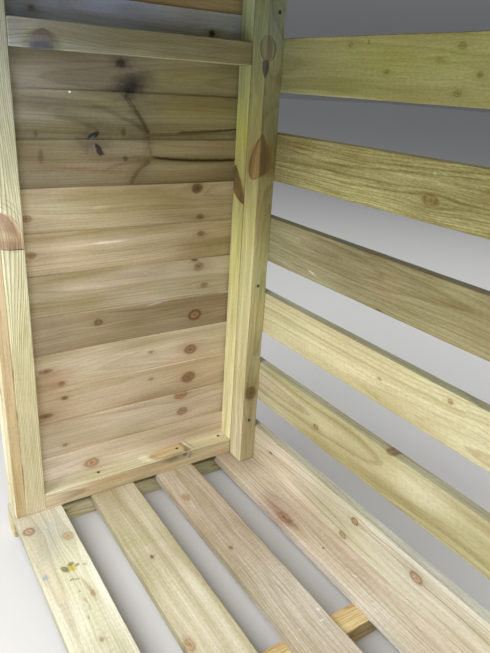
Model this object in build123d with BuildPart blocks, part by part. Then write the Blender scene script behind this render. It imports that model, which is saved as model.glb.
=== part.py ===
from build123d import *
from math import radians, tan, cos, sin
import os

# Open-fronted log store, sawn softwood.  Millimetres, +Z up.
# Origin: on the ground, under the middle of the floor.
# X runs along the store (left end -X), Y from the open front (-Y) to the back.

os.makedirs("parts", exist_ok=True)

# ---- driving dimensions -------------------------------------------------
BASE_LENGTH = 1220.0      # floor slats and back slats, end to end
BASE_DEPTH = 610.0        # bearers, front end to rear end

BEARER_WIDTH = 47.0
BEARER_HEIGHT = 40.0

BOARD = 22.0              # back slats, trims, fascia: sawn board thickness
FLOOR_BOARD = 21.0        # floor slats
FLOOR_TOP = BEARER_HEIGHT + FLOOR_BOARD

END_FRAME = 47.0          # end panels: frame thickness along X
RAIL_HEIGHT = 40.0        # bottom rail
POST_DEPTH = 42.0         # posts: depth along Y
BACK_POST = 50.0          # back panel posts: width along X

PANEL_INSIDE = 546.5      # inside face of an end panel, from the middle
CLADDING_OUT = 16.0       # feather-edge boards stand out this far

FRONT = -BASE_DEPTH / 2
REAR = BASE_DEPTH / 2

TRIM_FRONT = FRONT + 4.5
TRIM_BACK = TRIM_FRONT + BOARD
TRIM_WIDTH = 68.0

FRONT_POST = (TRIM_BACK, TRIM_BACK + POST_DEPTH)
REAR_POST = (REAR - BOARD - 1.0 - POST_DEPTH, REAR - BOARD - 1.0)
BACK_SLAT_Y = (REAR - BOARD - 1.0, REAR - 1.0)

# floor slats, front edge and rear edge measured from the front of the floor
FLOOR_SLATS = [(0.0, 102.5), (171.5, 275.0), (335.5, 433.0), (504.0, 607.0)]

# back slats, bottom and top edge measured from the floor
BACK_SLATS = [
    (0.0, 95.5),
    (174.5, 274.5),
    (355.0, 453.0),
    (530.0, 629.5),
    (709.0, 807.5),
    (887.0, 987.5),
]

UPPER_RAIL = (934.0, 978.5)    # bottom and top, from the floor

# roof: a single pitch, high at the front
PITCH = 12.0
ROOF_MIDDLE = 1235.0      # underside of the roof boards at the middle
ROOF_LENGTH = 1300.0
ROOF_FRONT = -350.0
ROOF_REAR = 350.0
ROOF_EXPOSURE = 102.0     # each roof board shows this much
ROOF_COUNT = 7
ROOF_THICK = 17.0         # thick edge of a lapped roof board, over the one below
ROOF_THIN = 7.0

# cladding: 100 mm feather-edge boards, each lapped over the one below
BOARD_EXPOSURE = 86.3
CLADDING_THIN = 6.0

SLOPE = tan(radians(PITCH))


def roof_under(y):
    """Height of the underside of the roof boards at depth y."""
    return ROOF_MIDDLE - SLOPE * y


def save(part, label):
    part.label = label
    export_step(part, "parts/" + label + ".step")


# ---- base ---------------------------------------------------------------
BEARER_X = BASE_LENGTH / 2 - BEARER_WIDTH / 2

with BuildPart() as bearer_left:
    with BuildSketch(Plane.XY):
        with Locations((-BEARER_X, 0)):
            Rectangle(BEARER_WIDTH, BASE_DEPTH)
    extrude(amount=BEARER_HEIGHT)
save(bearer_left.part, "bearer_left")

with BuildPart() as bearer_middle:
    with BuildSketch(Plane.XY):
        Rectangle(BEARER_WIDTH, BASE_DEPTH)
    extrude(amount=BEARER_HEIGHT)
save(bearer_middle.part, "bearer_middle")

with BuildPart() as bearer_right:
    with BuildSketch(Plane.XY):
        with Locations((BEARER_X, 0)):
            Rectangle(BEARER_WIDTH, BASE_DEPTH)
    extrude(amount=BEARER_HEIGHT)
save(bearer_right.part, "bearer_right")

for i, (y0, y1) in enumerate(FLOOR_SLATS, start=1):
    with BuildPart() as floor_slat:
        with BuildSketch(Plane.XY.offset(BEARER_HEIGHT)):
            with Locations((0, FRONT + (y0 + y1) / 2)):
                Rectangle(BASE_LENGTH, y1 - y0)
        extrude(amount=FLOOR_BOARD)
        chamfer(floor_slat.edges().filter_by(Axis.X), length=1.0)
    save(floor_slat.part, f"floor_slat_{i}")

# ---- end panels ---------------------------------------------------------
# Drawn once on the left; the right panel is its mirror image.


def both_ends(part, name):
    save(part, "left_" + name)
    save(mirror(part, about=Plane.YZ), "right_" + name)


INSIDE = -PANEL_INSIDE
OUTSIDE = INSIDE - END_FRAME

with BuildPart() as front_post:
    with BuildSketch(Plane.YZ.offset(OUTSIDE)):
        with BuildLine():
            Polyline(
                (FRONT_POST[0], FLOOR_TOP),
                (FRONT_POST[1], FLOOR_TOP),
                (FRONT_POST[1], roof_under(FRONT_POST[1])),
                (FRONT_POST[0], roof_under(FRONT_POST[0])),
                close=True,
            )
        make_face()
    extrude(amount=END_FRAME)
both_ends(front_post.part, "front_post")

with BuildPart() as rear_post:
    with BuildSketch(Plane.YZ.offset(OUTSIDE)):
        with BuildLine():
            Polyline(
                (REAR_POST[0], FLOOR_TOP),
                (REAR_POST[1], FLOOR_TOP),
                (REAR_POST[1], roof_under(REAR_POST[1])),
                (REAR_POST[0], roof_under(REAR_POST[0])),
                close=True,
            )
        make_face()
    extrude(amount=END_FRAME)
both_ends(rear_post.part, "rear_post")

with BuildPart() as bottom_rail:
    with BuildSketch(Plane.YZ.offset(OUTSIDE)):
        with Locations(((FRONT_POST[1] + REAR_POST[0]) / 2, FLOOR_TOP + RAIL_HEIGHT / 2)):
            Rectangle(REAR_POST[0] - FRONT_POST[1], RAIL_HEIGHT)
    extrude(amount=END_FRAME)
both_ends(bottom_rail.part, "bottom_rail")

with BuildPart() as upper_rail:
    with BuildSketch(Plane.YZ.offset(OUTSIDE)):
        with Locations(
            (
                (FRONT_POST[1] + REAR_POST[0]) / 2,
                FLOOR_TOP + (UPPER_RAIL[0] + UPPER_RAIL[1]) / 2,
            )
        ):
            Rectangle(REAR_POST[0] - FRONT_POST[1], UPPER_RAIL[1] - UPPER_RAIL[0])
    extrude(amount=END_FRAME)
both_ends(upper_rail.part, "upper_rail")

with BuildPart() as top_rail:
    with BuildSketch(Plane.YZ.offset(OUTSIDE)):
        with BuildLine():
            Polyline(
                (FRONT_POST[1], roof_under(FRONT_POST[1]) - POST_DEPTH),
                (REAR_POST[0], roof_under(REAR_POST[0]) - POST_DEPTH),
                (REAR_POST[0], roof_under(REAR_POST[0])),
                (FRONT_POST[1], roof_under(FRONT_POST[1])),
                close=True,
            )
        make_face()
    extrude(amount=END_FRAME)
both_ends(top_rail.part, "top_rail")

# Cladding seen from the front: a flat inner face and an outer face that steps
# out at the foot of every board.
cladding_points = [(0.0, FLOOR_TOP)]
z = FLOOR_TOP
count = 0
while z < roof_under(TRIM_BACK):
    cladding_points.append((-CLADDING_OUT, z))
    z += BOARD_EXPOSURE
    cladding_points.append((-CLADDING_THIN - 1.5, z))
    count += 1
cladding_points.append((0.0, z))

with BuildPart() as cladding:
    with BuildSketch(Plane.XZ.offset(-REAR_POST[1])):
        with BuildLine():
            Polyline(*[(OUTSIDE + x, h) for x, h in cladding_points], close=True)
        make_face()
    extrude(amount=REAR_POST[1] - TRIM_BACK)
    # the top follows the roof
    with BuildSketch(Plane.YZ.offset(OUTSIDE - 40)):
        with BuildLine():
            Polyline(
                (TRIM_BACK - 10, roof_under(TRIM_BACK - 10)),
                (REAR_POST[1] + 10, roof_under(REAR_POST[1] + 10)),
                (REAR_POST[1] + 10, 2200),
                (TRIM_BACK - 10, 2200),
                close=True,
            )
        make_face()
    extrude(amount=80, mode=Mode.SUBTRACT)
both_ends(cladding.part, "cladding")

with BuildPart() as front_trim:
    with BuildSketch(Plane.YZ.offset(INSIDE - TRIM_WIDTH)):
        with BuildLine():
            Polyline(
                (TRIM_FRONT, FLOOR_TOP),
                (TRIM_BACK, FLOOR_TOP),
                (TRIM_BACK, roof_under(TRIM_BACK)),
                (TRIM_FRONT, roof_under(TRIM_FRONT)),
                close=True,
            )
        make_face()
    extrude(amount=TRIM_WIDTH)
both_ends(front_trim.part, "front_trim")

# ---- back panel ---------------------------------------------------------
BACK_POST_TOP = roof_under(REAR_POST[1])

with BuildPart() as back_post_left:
    with BuildSketch(Plane.YZ.offset(INSIDE)):
        with BuildLine():
            Polyline(
                (REAR_POST[0], FLOOR_TOP),
                (REAR_POST[1], FLOOR_TOP),
                (REAR_POST[1], roof_under(REAR_POST[1])),
                (REAR_POST[0], roof_under(REAR_POST[0])),
                close=True,
            )
        make_face()
    extrude(amount=BACK_POST)
save(back_post_left.part, "back_post_left")
save(mirror(back_post_left.part, about=Plane.YZ), "back_post_right")

with BuildPart() as back_top_rail:
    with BuildSketch(Plane.YZ.offset(INSIDE + BACK_POST)):
        with BuildLine():
            Polyline(
                (REAR_POST[0], BACK_POST_TOP - 47.0),
                (REAR_POST[1], BACK_POST_TOP - 47.0),
                (REAR_POST[1], roof_under(REAR_POST[1])),
                (REAR_POST[0], roof_under(REAR_POST[0])),
                close=True,
            )
        make_face()
    extrude(amount=2 * (PANEL_INSIDE - BACK_POST))
save(back_top_rail.part, "back_top_rail")

for i, (z0, z1) in enumerate(BACK_SLATS, start=1):
    with BuildPart() as back_slat:
        with BuildSketch(Plane.XY.offset(FLOOR_TOP + z0)):
            with Locations((0, (BACK_SLAT_Y[0] + BACK_SLAT_Y[1]) / 2)):
                Rectangle(BASE_LENGTH, BACK_SLAT_Y[1] - BACK_SLAT_Y[0])
        extrude(amount=z1 - z0)
        chamfer(back_slat.edges().filter_by(Axis.X), length=1.0)
    save(back_slat.part, f"back_slat_{i}")

# ---- roof ---------------------------------------------------------------
HEADER_FOOT = roof_under(FRONT_POST[1]) - 70.0

with BuildPart() as front_header:
    with BuildSketch(Plane.YZ.offset(INSIDE)):
        with BuildLine():
            Polyline(
                (FRONT_POST[0], HEADER_FOOT),
                (FRONT_POST[1], HEADER_FOOT),
                (FRONT_POST[1], roof_under(FRONT_POST[1])),
                (FRONT_POST[0], roof_under(FRONT_POST[0])),
                close=True,
            )
        make_face()
    extrude(amount=2 * PANEL_INSIDE)
save(front_header.part, "front_header")

with BuildPart() as roof_rafter:
    with BuildSketch(Plane.YZ.offset(-END_FRAME / 2)):
        with BuildLine():
            Polyline(
                (FRONT_POST[1], roof_under(FRONT_POST[1]) - POST_DEPTH),
                (REAR_POST[0], roof_under(REAR_POST[0]) - POST_DEPTH),
                (REAR_POST[0], roof_under(REAR_POST[0])),
                (FRONT_POST[1], roof_under(FRONT_POST[1])),
                close=True,
            )
        make_face()
    extrude(amount=END_FRAME)
save(roof_rafter.part, "roof_rafter")

# Roof boards: flat underneath, stepping down to the rear so that each board
# laps over the one behind it.  Distances run down the slope from the front.
SLOPE_LENGTH = (ROOF_REAR - ROOF_FRONT) / cos(radians(PITCH))


def on_roof(s, t):
    """Point s down the slope and t above the underside, as (y, z)."""
    a = radians(PITCH)
    y = ROOF_FRONT + s * cos(a) + t * sin(a)
    zz = roof_under(ROOF_FRONT) - s * sin(a) + t * cos(a)
    return (y, zz)


roof_points = [on_roof(0.0, 0.0), on_roof(0.0, ROOF_THIN)]
s = 0.0
for n in range(ROOF_COUNT):
    s_end = SLOPE_LENGTH - (ROOF_COUNT - 1 - n) * ROOF_EXPOSURE
    if n == ROOF_COUNT - 1:
        s_end = SLOPE_LENGTH - ROOF_THICK * tan(radians(PITCH))
    roof_points.append(on_roof(s_end, ROOF_THICK))
    if n < ROOF_COUNT - 1:
        roof_points.append(on_roof(s_end, ROOF_THIN))
roof_points.append(on_roof(SLOPE_LENGTH - ROOF_THICK * tan(radians(PITCH)), 0.0))

with BuildPart() as roof_boards:
    with BuildSketch(Plane.YZ.offset(-ROOF_LENGTH / 2)):
        with BuildLine():
            Polyline(*roof_points, close=True)
        make_face()
    extrude(amount=ROOF_LENGTH)
save(roof_boards.part, "roof_boards")

VERGE_INSIDE = PANEL_INSIDE + TRIM_WIDTH

with BuildPart() as front_fascia:
    with BuildSketch(Plane.YZ.offset(-(VERGE_INSIDE + BOARD))):
        with BuildLine():
            Polyline(
                (TRIM_FRONT - BOARD, roof_under(TRIM_FRONT) - 98.0),
                (TRIM_FRONT, roof_under(TRIM_FRONT) - 98.0),
                (TRIM_FRONT, roof_under(TRIM_FRONT)),
                (TRIM_FRONT - BOARD, roof_under(TRIM_FRONT - BOARD)),
                close=True,
            )
        make_face()
    extrude(amount=2 * (VERGE_INSIDE + BOARD))
save(front_fascia.part, "front_fascia")

with BuildPart() as verge_board:
    with BuildSketch(Plane.YZ.offset(-(VERGE_INSIDE + BOARD))):
        with BuildLine():
            Polyline(
                (TRIM_FRONT, roof_under(TRIM_FRONT) - 70.0),
                (REAR - 1.0, roof_under(REAR - 1.0) - 70.0),
                (REAR - 1.0, roof_under(REAR - 1.0)),
                (TRIM_FRONT, roof_under(TRIM_FRONT)),
                close=True,
            )
        make_face()
    extrude(amount=BOARD)
save(verge_board.part, "verge_board_left")
save(mirror(verge_board.part, about=Plane.YZ), "verge_board_right")
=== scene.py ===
import math
import random

import bpy
import numpy as np
from mathutils import Matrix, Vector, noise


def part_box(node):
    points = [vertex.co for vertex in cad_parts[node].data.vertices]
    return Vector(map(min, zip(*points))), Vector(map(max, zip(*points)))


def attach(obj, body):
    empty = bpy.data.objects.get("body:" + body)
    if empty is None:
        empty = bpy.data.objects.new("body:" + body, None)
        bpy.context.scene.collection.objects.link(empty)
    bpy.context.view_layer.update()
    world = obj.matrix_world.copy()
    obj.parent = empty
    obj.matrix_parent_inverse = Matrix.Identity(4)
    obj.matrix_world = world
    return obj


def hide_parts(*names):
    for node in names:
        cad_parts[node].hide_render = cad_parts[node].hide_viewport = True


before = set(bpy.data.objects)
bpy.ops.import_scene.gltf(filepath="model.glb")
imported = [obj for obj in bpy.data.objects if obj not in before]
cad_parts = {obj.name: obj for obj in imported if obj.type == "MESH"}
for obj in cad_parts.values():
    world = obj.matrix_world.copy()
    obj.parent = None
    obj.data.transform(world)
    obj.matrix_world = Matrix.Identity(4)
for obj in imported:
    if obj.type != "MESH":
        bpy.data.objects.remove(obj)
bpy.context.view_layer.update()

rng = random.Random(20)
noise.seed_set(20)

# ---------------------------------------------------------------- dimensions
# metres, from the frame
PITCH = math.radians(12.0)


def low(node):
    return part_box(node)[0]


def high(node):
    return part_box(node)[1]


FLOOR_TOP = high("floor_slat_1").z
INSIDE = -high("left_front_post").x          # inside face of the end panels, from the middle
OUTSIDE = -low("left_front_post").x          # outside face of the end frames
FRONT_POST = (low("left_front_post").y, high("left_front_post").y)
REAR_POST = (low("left_rear_post").y, high("left_rear_post").y)
TRIM_FRONT = low("left_front_trim").y
ROOF_FRONT = low("roof_boards").y
ROOF_REAR = high("roof_boards").y
ROOF_HALF = high("roof_boards").x
# the front post's highest corner lies on the roof plane
ROOF_MIDDLE = high("left_front_post").z + math.tan(PITCH) * FRONT_POST[0]


def roof_under(y):
    return ROOF_MIDDLE - math.tan(PITCH) * y


# ---------------------------------------------------------------- colours


def lin(r, g, b):
    """sRGB 0..255 to linear."""
    out = []
    for c in (r, g, b):
        c /= 255.0
        out.append(c / 12.92 if c <= 0.04045 else ((c + 0.055) / 1.055) ** 2.4)
    return tuple(out)


# ---------------------------------------------------------------- timber meshes
FAR = (90.0, 0.0, 0.0)


def section(a, b, r, step):
    """Points round a rounded rectangle a by b: (a, b, outward normal, how near an arris, face).
    Face 0 looks down -b, 1 along +a, 2 along +b, 3 down -a."""
    pts = []
    r = min(r, a * 0.45, b * 0.45)

    def side(p, q, n, face):
        length = math.hypot(q[0] - p[0], q[1] - p[1])
        count = max(1, int(round(length / step)))
        for i in range(count + 1):
            t = i / count
            pts.append((p[0] + (q[0] - p[0]) * t, p[1] + (q[1] - p[1]) * t, n[0], n[1],
                        0.55 if i in (0, count) else 0.0, face))

    def corner(cx, cy, a0, face):
        ang = a0 + math.radians(45)
        pts.append((cx + r * math.cos(ang), cy + r * math.sin(ang), math.cos(ang), math.sin(ang), 1.0, face))

    side((r, 0), (a - r, 0), (0, -1), 0)
    corner(a - r, r, math.radians(-90), 0)
    side((a, r), (a, b - r), (1, 0), 1)
    corner(a - r, b - r, 0.0, 1)
    side((a - r, b), (r, b), (0, 1), 2)
    corner(r, b - r, math.radians(90), 2)
    side((0, b - r), (0, r), (-1, 0), 3)
    corner(r, r, math.radians(180), 3)
    return pts


class Stock:
    """Collects boards, each with its own grain frame, into one mesh."""

    def __init__(self):
        self.v, self.f = [], []
        self.loc, self.ring, self.shade, self.look, self.tint = [], [], [], [], []
        self.kpos, self.kdir, self.kpar = [], [], []

    def board(self, o, U, V, L, A, B, shape=None, r=0.0016, knots=(), pith=None, drift=None,
              tint=(1, 1, 1), faces=None, paint=None, seed=0.0, bow=(0.0, 0.0), rough=0.00022, wear=0.0005,
              step=0.008, along=0.011, grain=1.0, fibre=1.0, saw=0.5, blotch=1.0, green=0.5):
        """o: the corner; U: the grain's direction; V: the width's direction; W = U x V.
        L, A, B: size along U, V and W.  Knots: dicts with p (in this frame), r, e, kind, d.
        faces: a tint for some of the faces 0..3.  paint: row position -> a tint."""
        o, U, V = Vector(o), Vector(U).normalized(), Vector(V).normalized()
        W = U.cross(V)
        pts = section(A, B, r, step)
        n = len(pts)
        count = max(2, int(round(L / along)))
        us = [0.0, r] + [r + (L - 2 * r) * i / count for i in range(1, count)] + [L - r, L]
        base = len(self.v)
        sv = Vector((seed * 3.1, seed * 1.7, seed * 5.3))
        if pith is None:
            pith = (A * rng.uniform(-0.1, 1.1), -rng.uniform(0.015, 0.06), rng.uniform(0.0032, 0.0052))
        if drift is None:
            drift = (rng.uniform(-0.03, 0.03), rng.uniform(-0.03, 0.03))
        for k, u in enumerate(us):
            inset = r * 0.75 if k in (0, len(us) - 1) else 0.0
            wave = noise.noise_vector(Vector((u * 2.4, 0.3, 0.7)) + sv)
            for (a, b, na, nb, e, face) in pts:
                va, wb = a, b
                if inset:
                    va = min(max(a, inset), A - inset)
                    wb = min(max(b, inset), B - inset)
                h = noise.noise(Vector((u * 17.0, a * 55.0, b * 55.0)) + sv) * rough
                h += noise.noise(Vector((u * 70.0, a * 120.0, b * 120.0)) + sv) * rough * 0.5
                if e:
                    q = noise.noise(Vector((u * 38.0, a * 9.0 + b * 13.0, 3.7)) + sv)
                    h -= wear * e * max(0.0, q) * 1.6
                uu = u
                vv = va + na * h
                ww = wb + nb * h
                t = u / L
                vv += bow[0] * 4 * t * (1 - t)
                ww += bow[1] * 4 * t * (1 - t)
                if shape:
                    uu, vv, ww = shape(uu, vv, ww)
                P = o + U * uu + V * vv + W * ww
                self.v.append(tuple(P))
                self.loc.append((uu, vv, ww))
                at3 = Vector((u * 5.0, a * 22.0, b * 22.0)) + sv
                w2 = noise.noise_vector(at3)
                self.ring.append((pith[0] + u * drift[0] + wave.x * 0.012 + w2.x * 0.0030,
                                  pith[1] + u * drift[1] + wave.y * 0.012 + w2.y * 0.0030, pith[2]))
                at3 = Vector((u * 4.2 + 9.1, a * 13.0, b * 13.0)) + sv
                w3 = noise.noise_vector(at3) + noise.noise_vector(at3 * 2.7) * 0.45
                w4 = noise.noise(Vector((u * 1.7, a * 44.0, b * 44.0)) + sv)
                tone = 1.0 + (w3.x * 0.20 + w4 * 0.20) * blotch
                gr = green + w3.y * 0.7
                self.shade.append((tone, min(1.0, max(0.0, gr)), min(1.0, max(0.0, 0.5 + w3.z * 1.8))))
                self.look.append((grain, fibre, seed))
                c = list(tint)
                if faces and face in faces:
                    c = [x * y for x, y in zip(c, faces[face])]
                if paint:
                    c = [x * y for x, y in zip(c, paint(P))]
                self.tint.append(tuple(c))
        first = len(self.f)
        for i in range(len(us) - 1):
            for j in range(n):
                a = base + i * n + j
                b = base + i * n + (j + 1) % n
                self.f.append((a, b, b + n, a + n))
        self.f.append(tuple(base + j for j in reversed(range(n))))
        top = base + (len(us) - 1) * n
        self.f.append(tuple(top + j for j in range(n)))
        for f in self.f[first:]:
            cu = sum(self.loc[i][0] for i in f) / len(f)
            cv = sum(self.loc[i][1] for i in f) / len(f)
            cw = sum(self.loc[i][2] for i in f) / len(f)
            best, bp, bd, bk = 1e9, FAR, (0, 0, 1), (0.01, 1.3, 0.0)
            for kn in knots:
                p, d = kn["p"], kn["d"]
                x, y, z = cu - p[0], cv - p[1], cw - p[2]
                dd = x * d[0] + y * d[1] + z * d[2]
                x, y, z = x - dd * d[0], y - dd * d[1], z - dd * d[2]
                q = math.sqrt((x * 0.5) ** 2 + y * y + z * z) / kn["r"]
                if q < best:
                    best, bp, bd, bk = q, (p[0], p[1], p[2]), d, (kn["r"], kn["e"], kn["kind"])
            self.kpos.append(bp)
            self.kdir.append(bd)
            self.kpar.append(bk)
        return self

    def finish(self, name, material, slot, nodes):
        me = bpy.data.meshes.new(name)
        me.from_pydata(self.v, [], self.f)
        me.update()
        for key, data, domain in (
            ("loc", self.loc, "POINT"), ("ring", self.ring, "POINT"), ("shade", self.shade, "POINT"),
            ("look", self.look, "POINT"), ("tint", self.tint, "POINT"),
            ("kpos", self.kpos, "FACE"), ("kdir", self.kdir, "FACE"), ("kpar", self.kpar, "FACE"),
        ):
            at = me.attributes.new(key, "FLOAT_VECTOR", domain)
            at.data.foreach_set("vector", np.array(data, np.float32).ravel())
        me.polygons.foreach_set("use_smooth", [True] * len(me.polygons))
        me.set_sharp_from_angle(angle=math.radians(18))
        me.materials.append(material)
        ob = bpy.data.objects.new(name, me)
        bpy.context.scene.collection.objects.link(ob)
        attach(ob, "root")
        if nodes:
            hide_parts(*nodes)
        return ob


def knot(p, r, e=1.35, kind=0.35, d=(0, 0, 1), edge=0.5):
    """kind: 0 a pale orange knot .. 1 a black one, below 0 only its effect on the grain.
    edge: how strong its outline is, 0..1.  Both go into one number."""
    code = -1.0 if kind < 0 else min(kind, 0.98) + 10 * int(round(edge * 10)) / 10.0
    return {"p": tuple(p), "r": r, "e": e, "kind": code, "d": tuple(Vector(d).normalized())}


def random_knots(L, A, B, gap=0.28, seed=0, rmin=0.004, rmax=0.0115, avoid=()):
    """Knots scattered along a board, not too close to each other or to those in avoid."""
    g = random.Random(1000 + seed)
    out = []
    u = g.uniform(0.03, gap)
    while u < L - 0.02:
        v = g.uniform(0.12, 0.88) * A
        if all(abs(u - a) > 0.09 for a in avoid):
            rr = g.uniform(rmin, rmax)
            tilt = (g.uniform(-0.25, 0.25), g.uniform(-0.35, 0.35), 1.0)
            out.append(knot((u, v, B / 2), rr, g.uniform(1.1, 1.7), g.choice((0.1, 0.25, 0.4, 0.6, 0.9)), tilt, g.uniform(0.1, 0.9)))
        u += g.uniform(0.5, 1.6) * gap
    return out


# ---------------------------------------------------------------- node helpers


class Tree:
    def __init__(self, mat):
        mat.use_nodes = True
        self.t = mat.node_tree
        self.t.nodes.clear()

    def node(self, kind, **values):
        n = self.t.nodes.new(kind)
        for k, v in values.items():
            setattr(n, k, v)
        return n

    def put(self, socket, value):
        if isinstance(value, bpy.types.NodeSocket):
            self.t.links.new(value, socket)
        elif isinstance(value, (tuple, list)) and len(value) == 3 and len(socket.default_value) == 4:
            socket.default_value = (*value, 1.0)
        else:
            socket.default_value = value

    def m(self, op, a, b=None, c=None, clamp=False):
        n = self.node("ShaderNodeMath", operation=op, use_clamp=clamp)
        for i, x in enumerate((a, b, c)):
            if x is not None:
                self.put(n.inputs[i], x)
        return n.outputs[0]

    def v(self, op, a, b=None, c=None, scale=None):
        n = self.node("ShaderNodeVectorMath", operation=op)
        for i, x in enumerate((a, b, c)):
            if x is not None:
                self.put(n.inputs[i], x)
        if scale is not None:
            self.put(n.inputs["Scale"], scale)
        return n.outputs["Value"] if op in ("LENGTH", "DOT_PRODUCT", "DISTANCE") else n.outputs["Vector"]

    def attr(self, name):
        n = self.node("ShaderNodeAttribute", attribute_type="GEOMETRY", attribute_name=name)
        return n.outputs["Vector"]

    def sep(self, vec):
        n = self.node("ShaderNodeSeparateXYZ")
        self.put(n.inputs[0], vec)
        return n.outputs

    def comb(self, x, y, z):
        n = self.node("ShaderNodeCombineXYZ")
        for i, s in enumerate((x, y, z)):
            self.put(n.inputs[i], s)
        return n.outputs[0]

    def noise(self, vec, scale=1.0, detail=2.0, rough=0.5, dist=0.0, out="Fac"):
        n = self.node("ShaderNodeTexNoise", noise_dimensions="3D")
        self.put(n.inputs["Vector"], vec)
        n.inputs["Scale"].default_value = scale
        n.inputs["Detail"].default_value = detail
        n.inputs["Roughness"].default_value = rough
        n.inputs["Distortion"].default_value = dist
        return n.outputs[out]

    def step(self, x, a, b, c=0.0, d=1.0):
        n = self.node("ShaderNodeMapRange", interpolation_type="SMOOTHSTEP", clamp=True)
        for i, s in enumerate((x, a, b, c, d)):
            self.put(n.inputs[i], s)
        return n.outputs[0]

    def line(self, x, a, b, c, d, clamp=True):
        n = self.node("ShaderNodeMapRange", interpolation_type="LINEAR", clamp=clamp)
        for i, s in enumerate((x, a, b, c, d)):
            self.put(n.inputs[i], s)
        return n.outputs[0]

    def mix(self, fac, a, b, blend="MIX"):
        n = self.node("ShaderNodeMix", data_type="RGBA", blend_type=blend)
        self.put(n.inputs["Factor"], fac)
        self.put(n.inputs[6], a)
        self.put(n.inputs[7], b)
        return n.outputs[2]

    def ramp(self, x, stops, interp="LINEAR"):
        n = self.node("ShaderNodeValToRGB")
        n.color_ramp.interpolation = interp
        el = n.color_ramp.elements
        while len(el) > len(stops):
            el.remove(el[-1])
        while len(el) < len(stops):
            el.new(0.5)
        for e, (p, c) in zip(el, stops):
            e.position = p
            e.color = (*c, 1.0) if isinstance(c, (tuple, list)) else (c, c, c, 1.0)
        self.put(n.inputs[0], x)
        return n.outputs[0]


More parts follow.
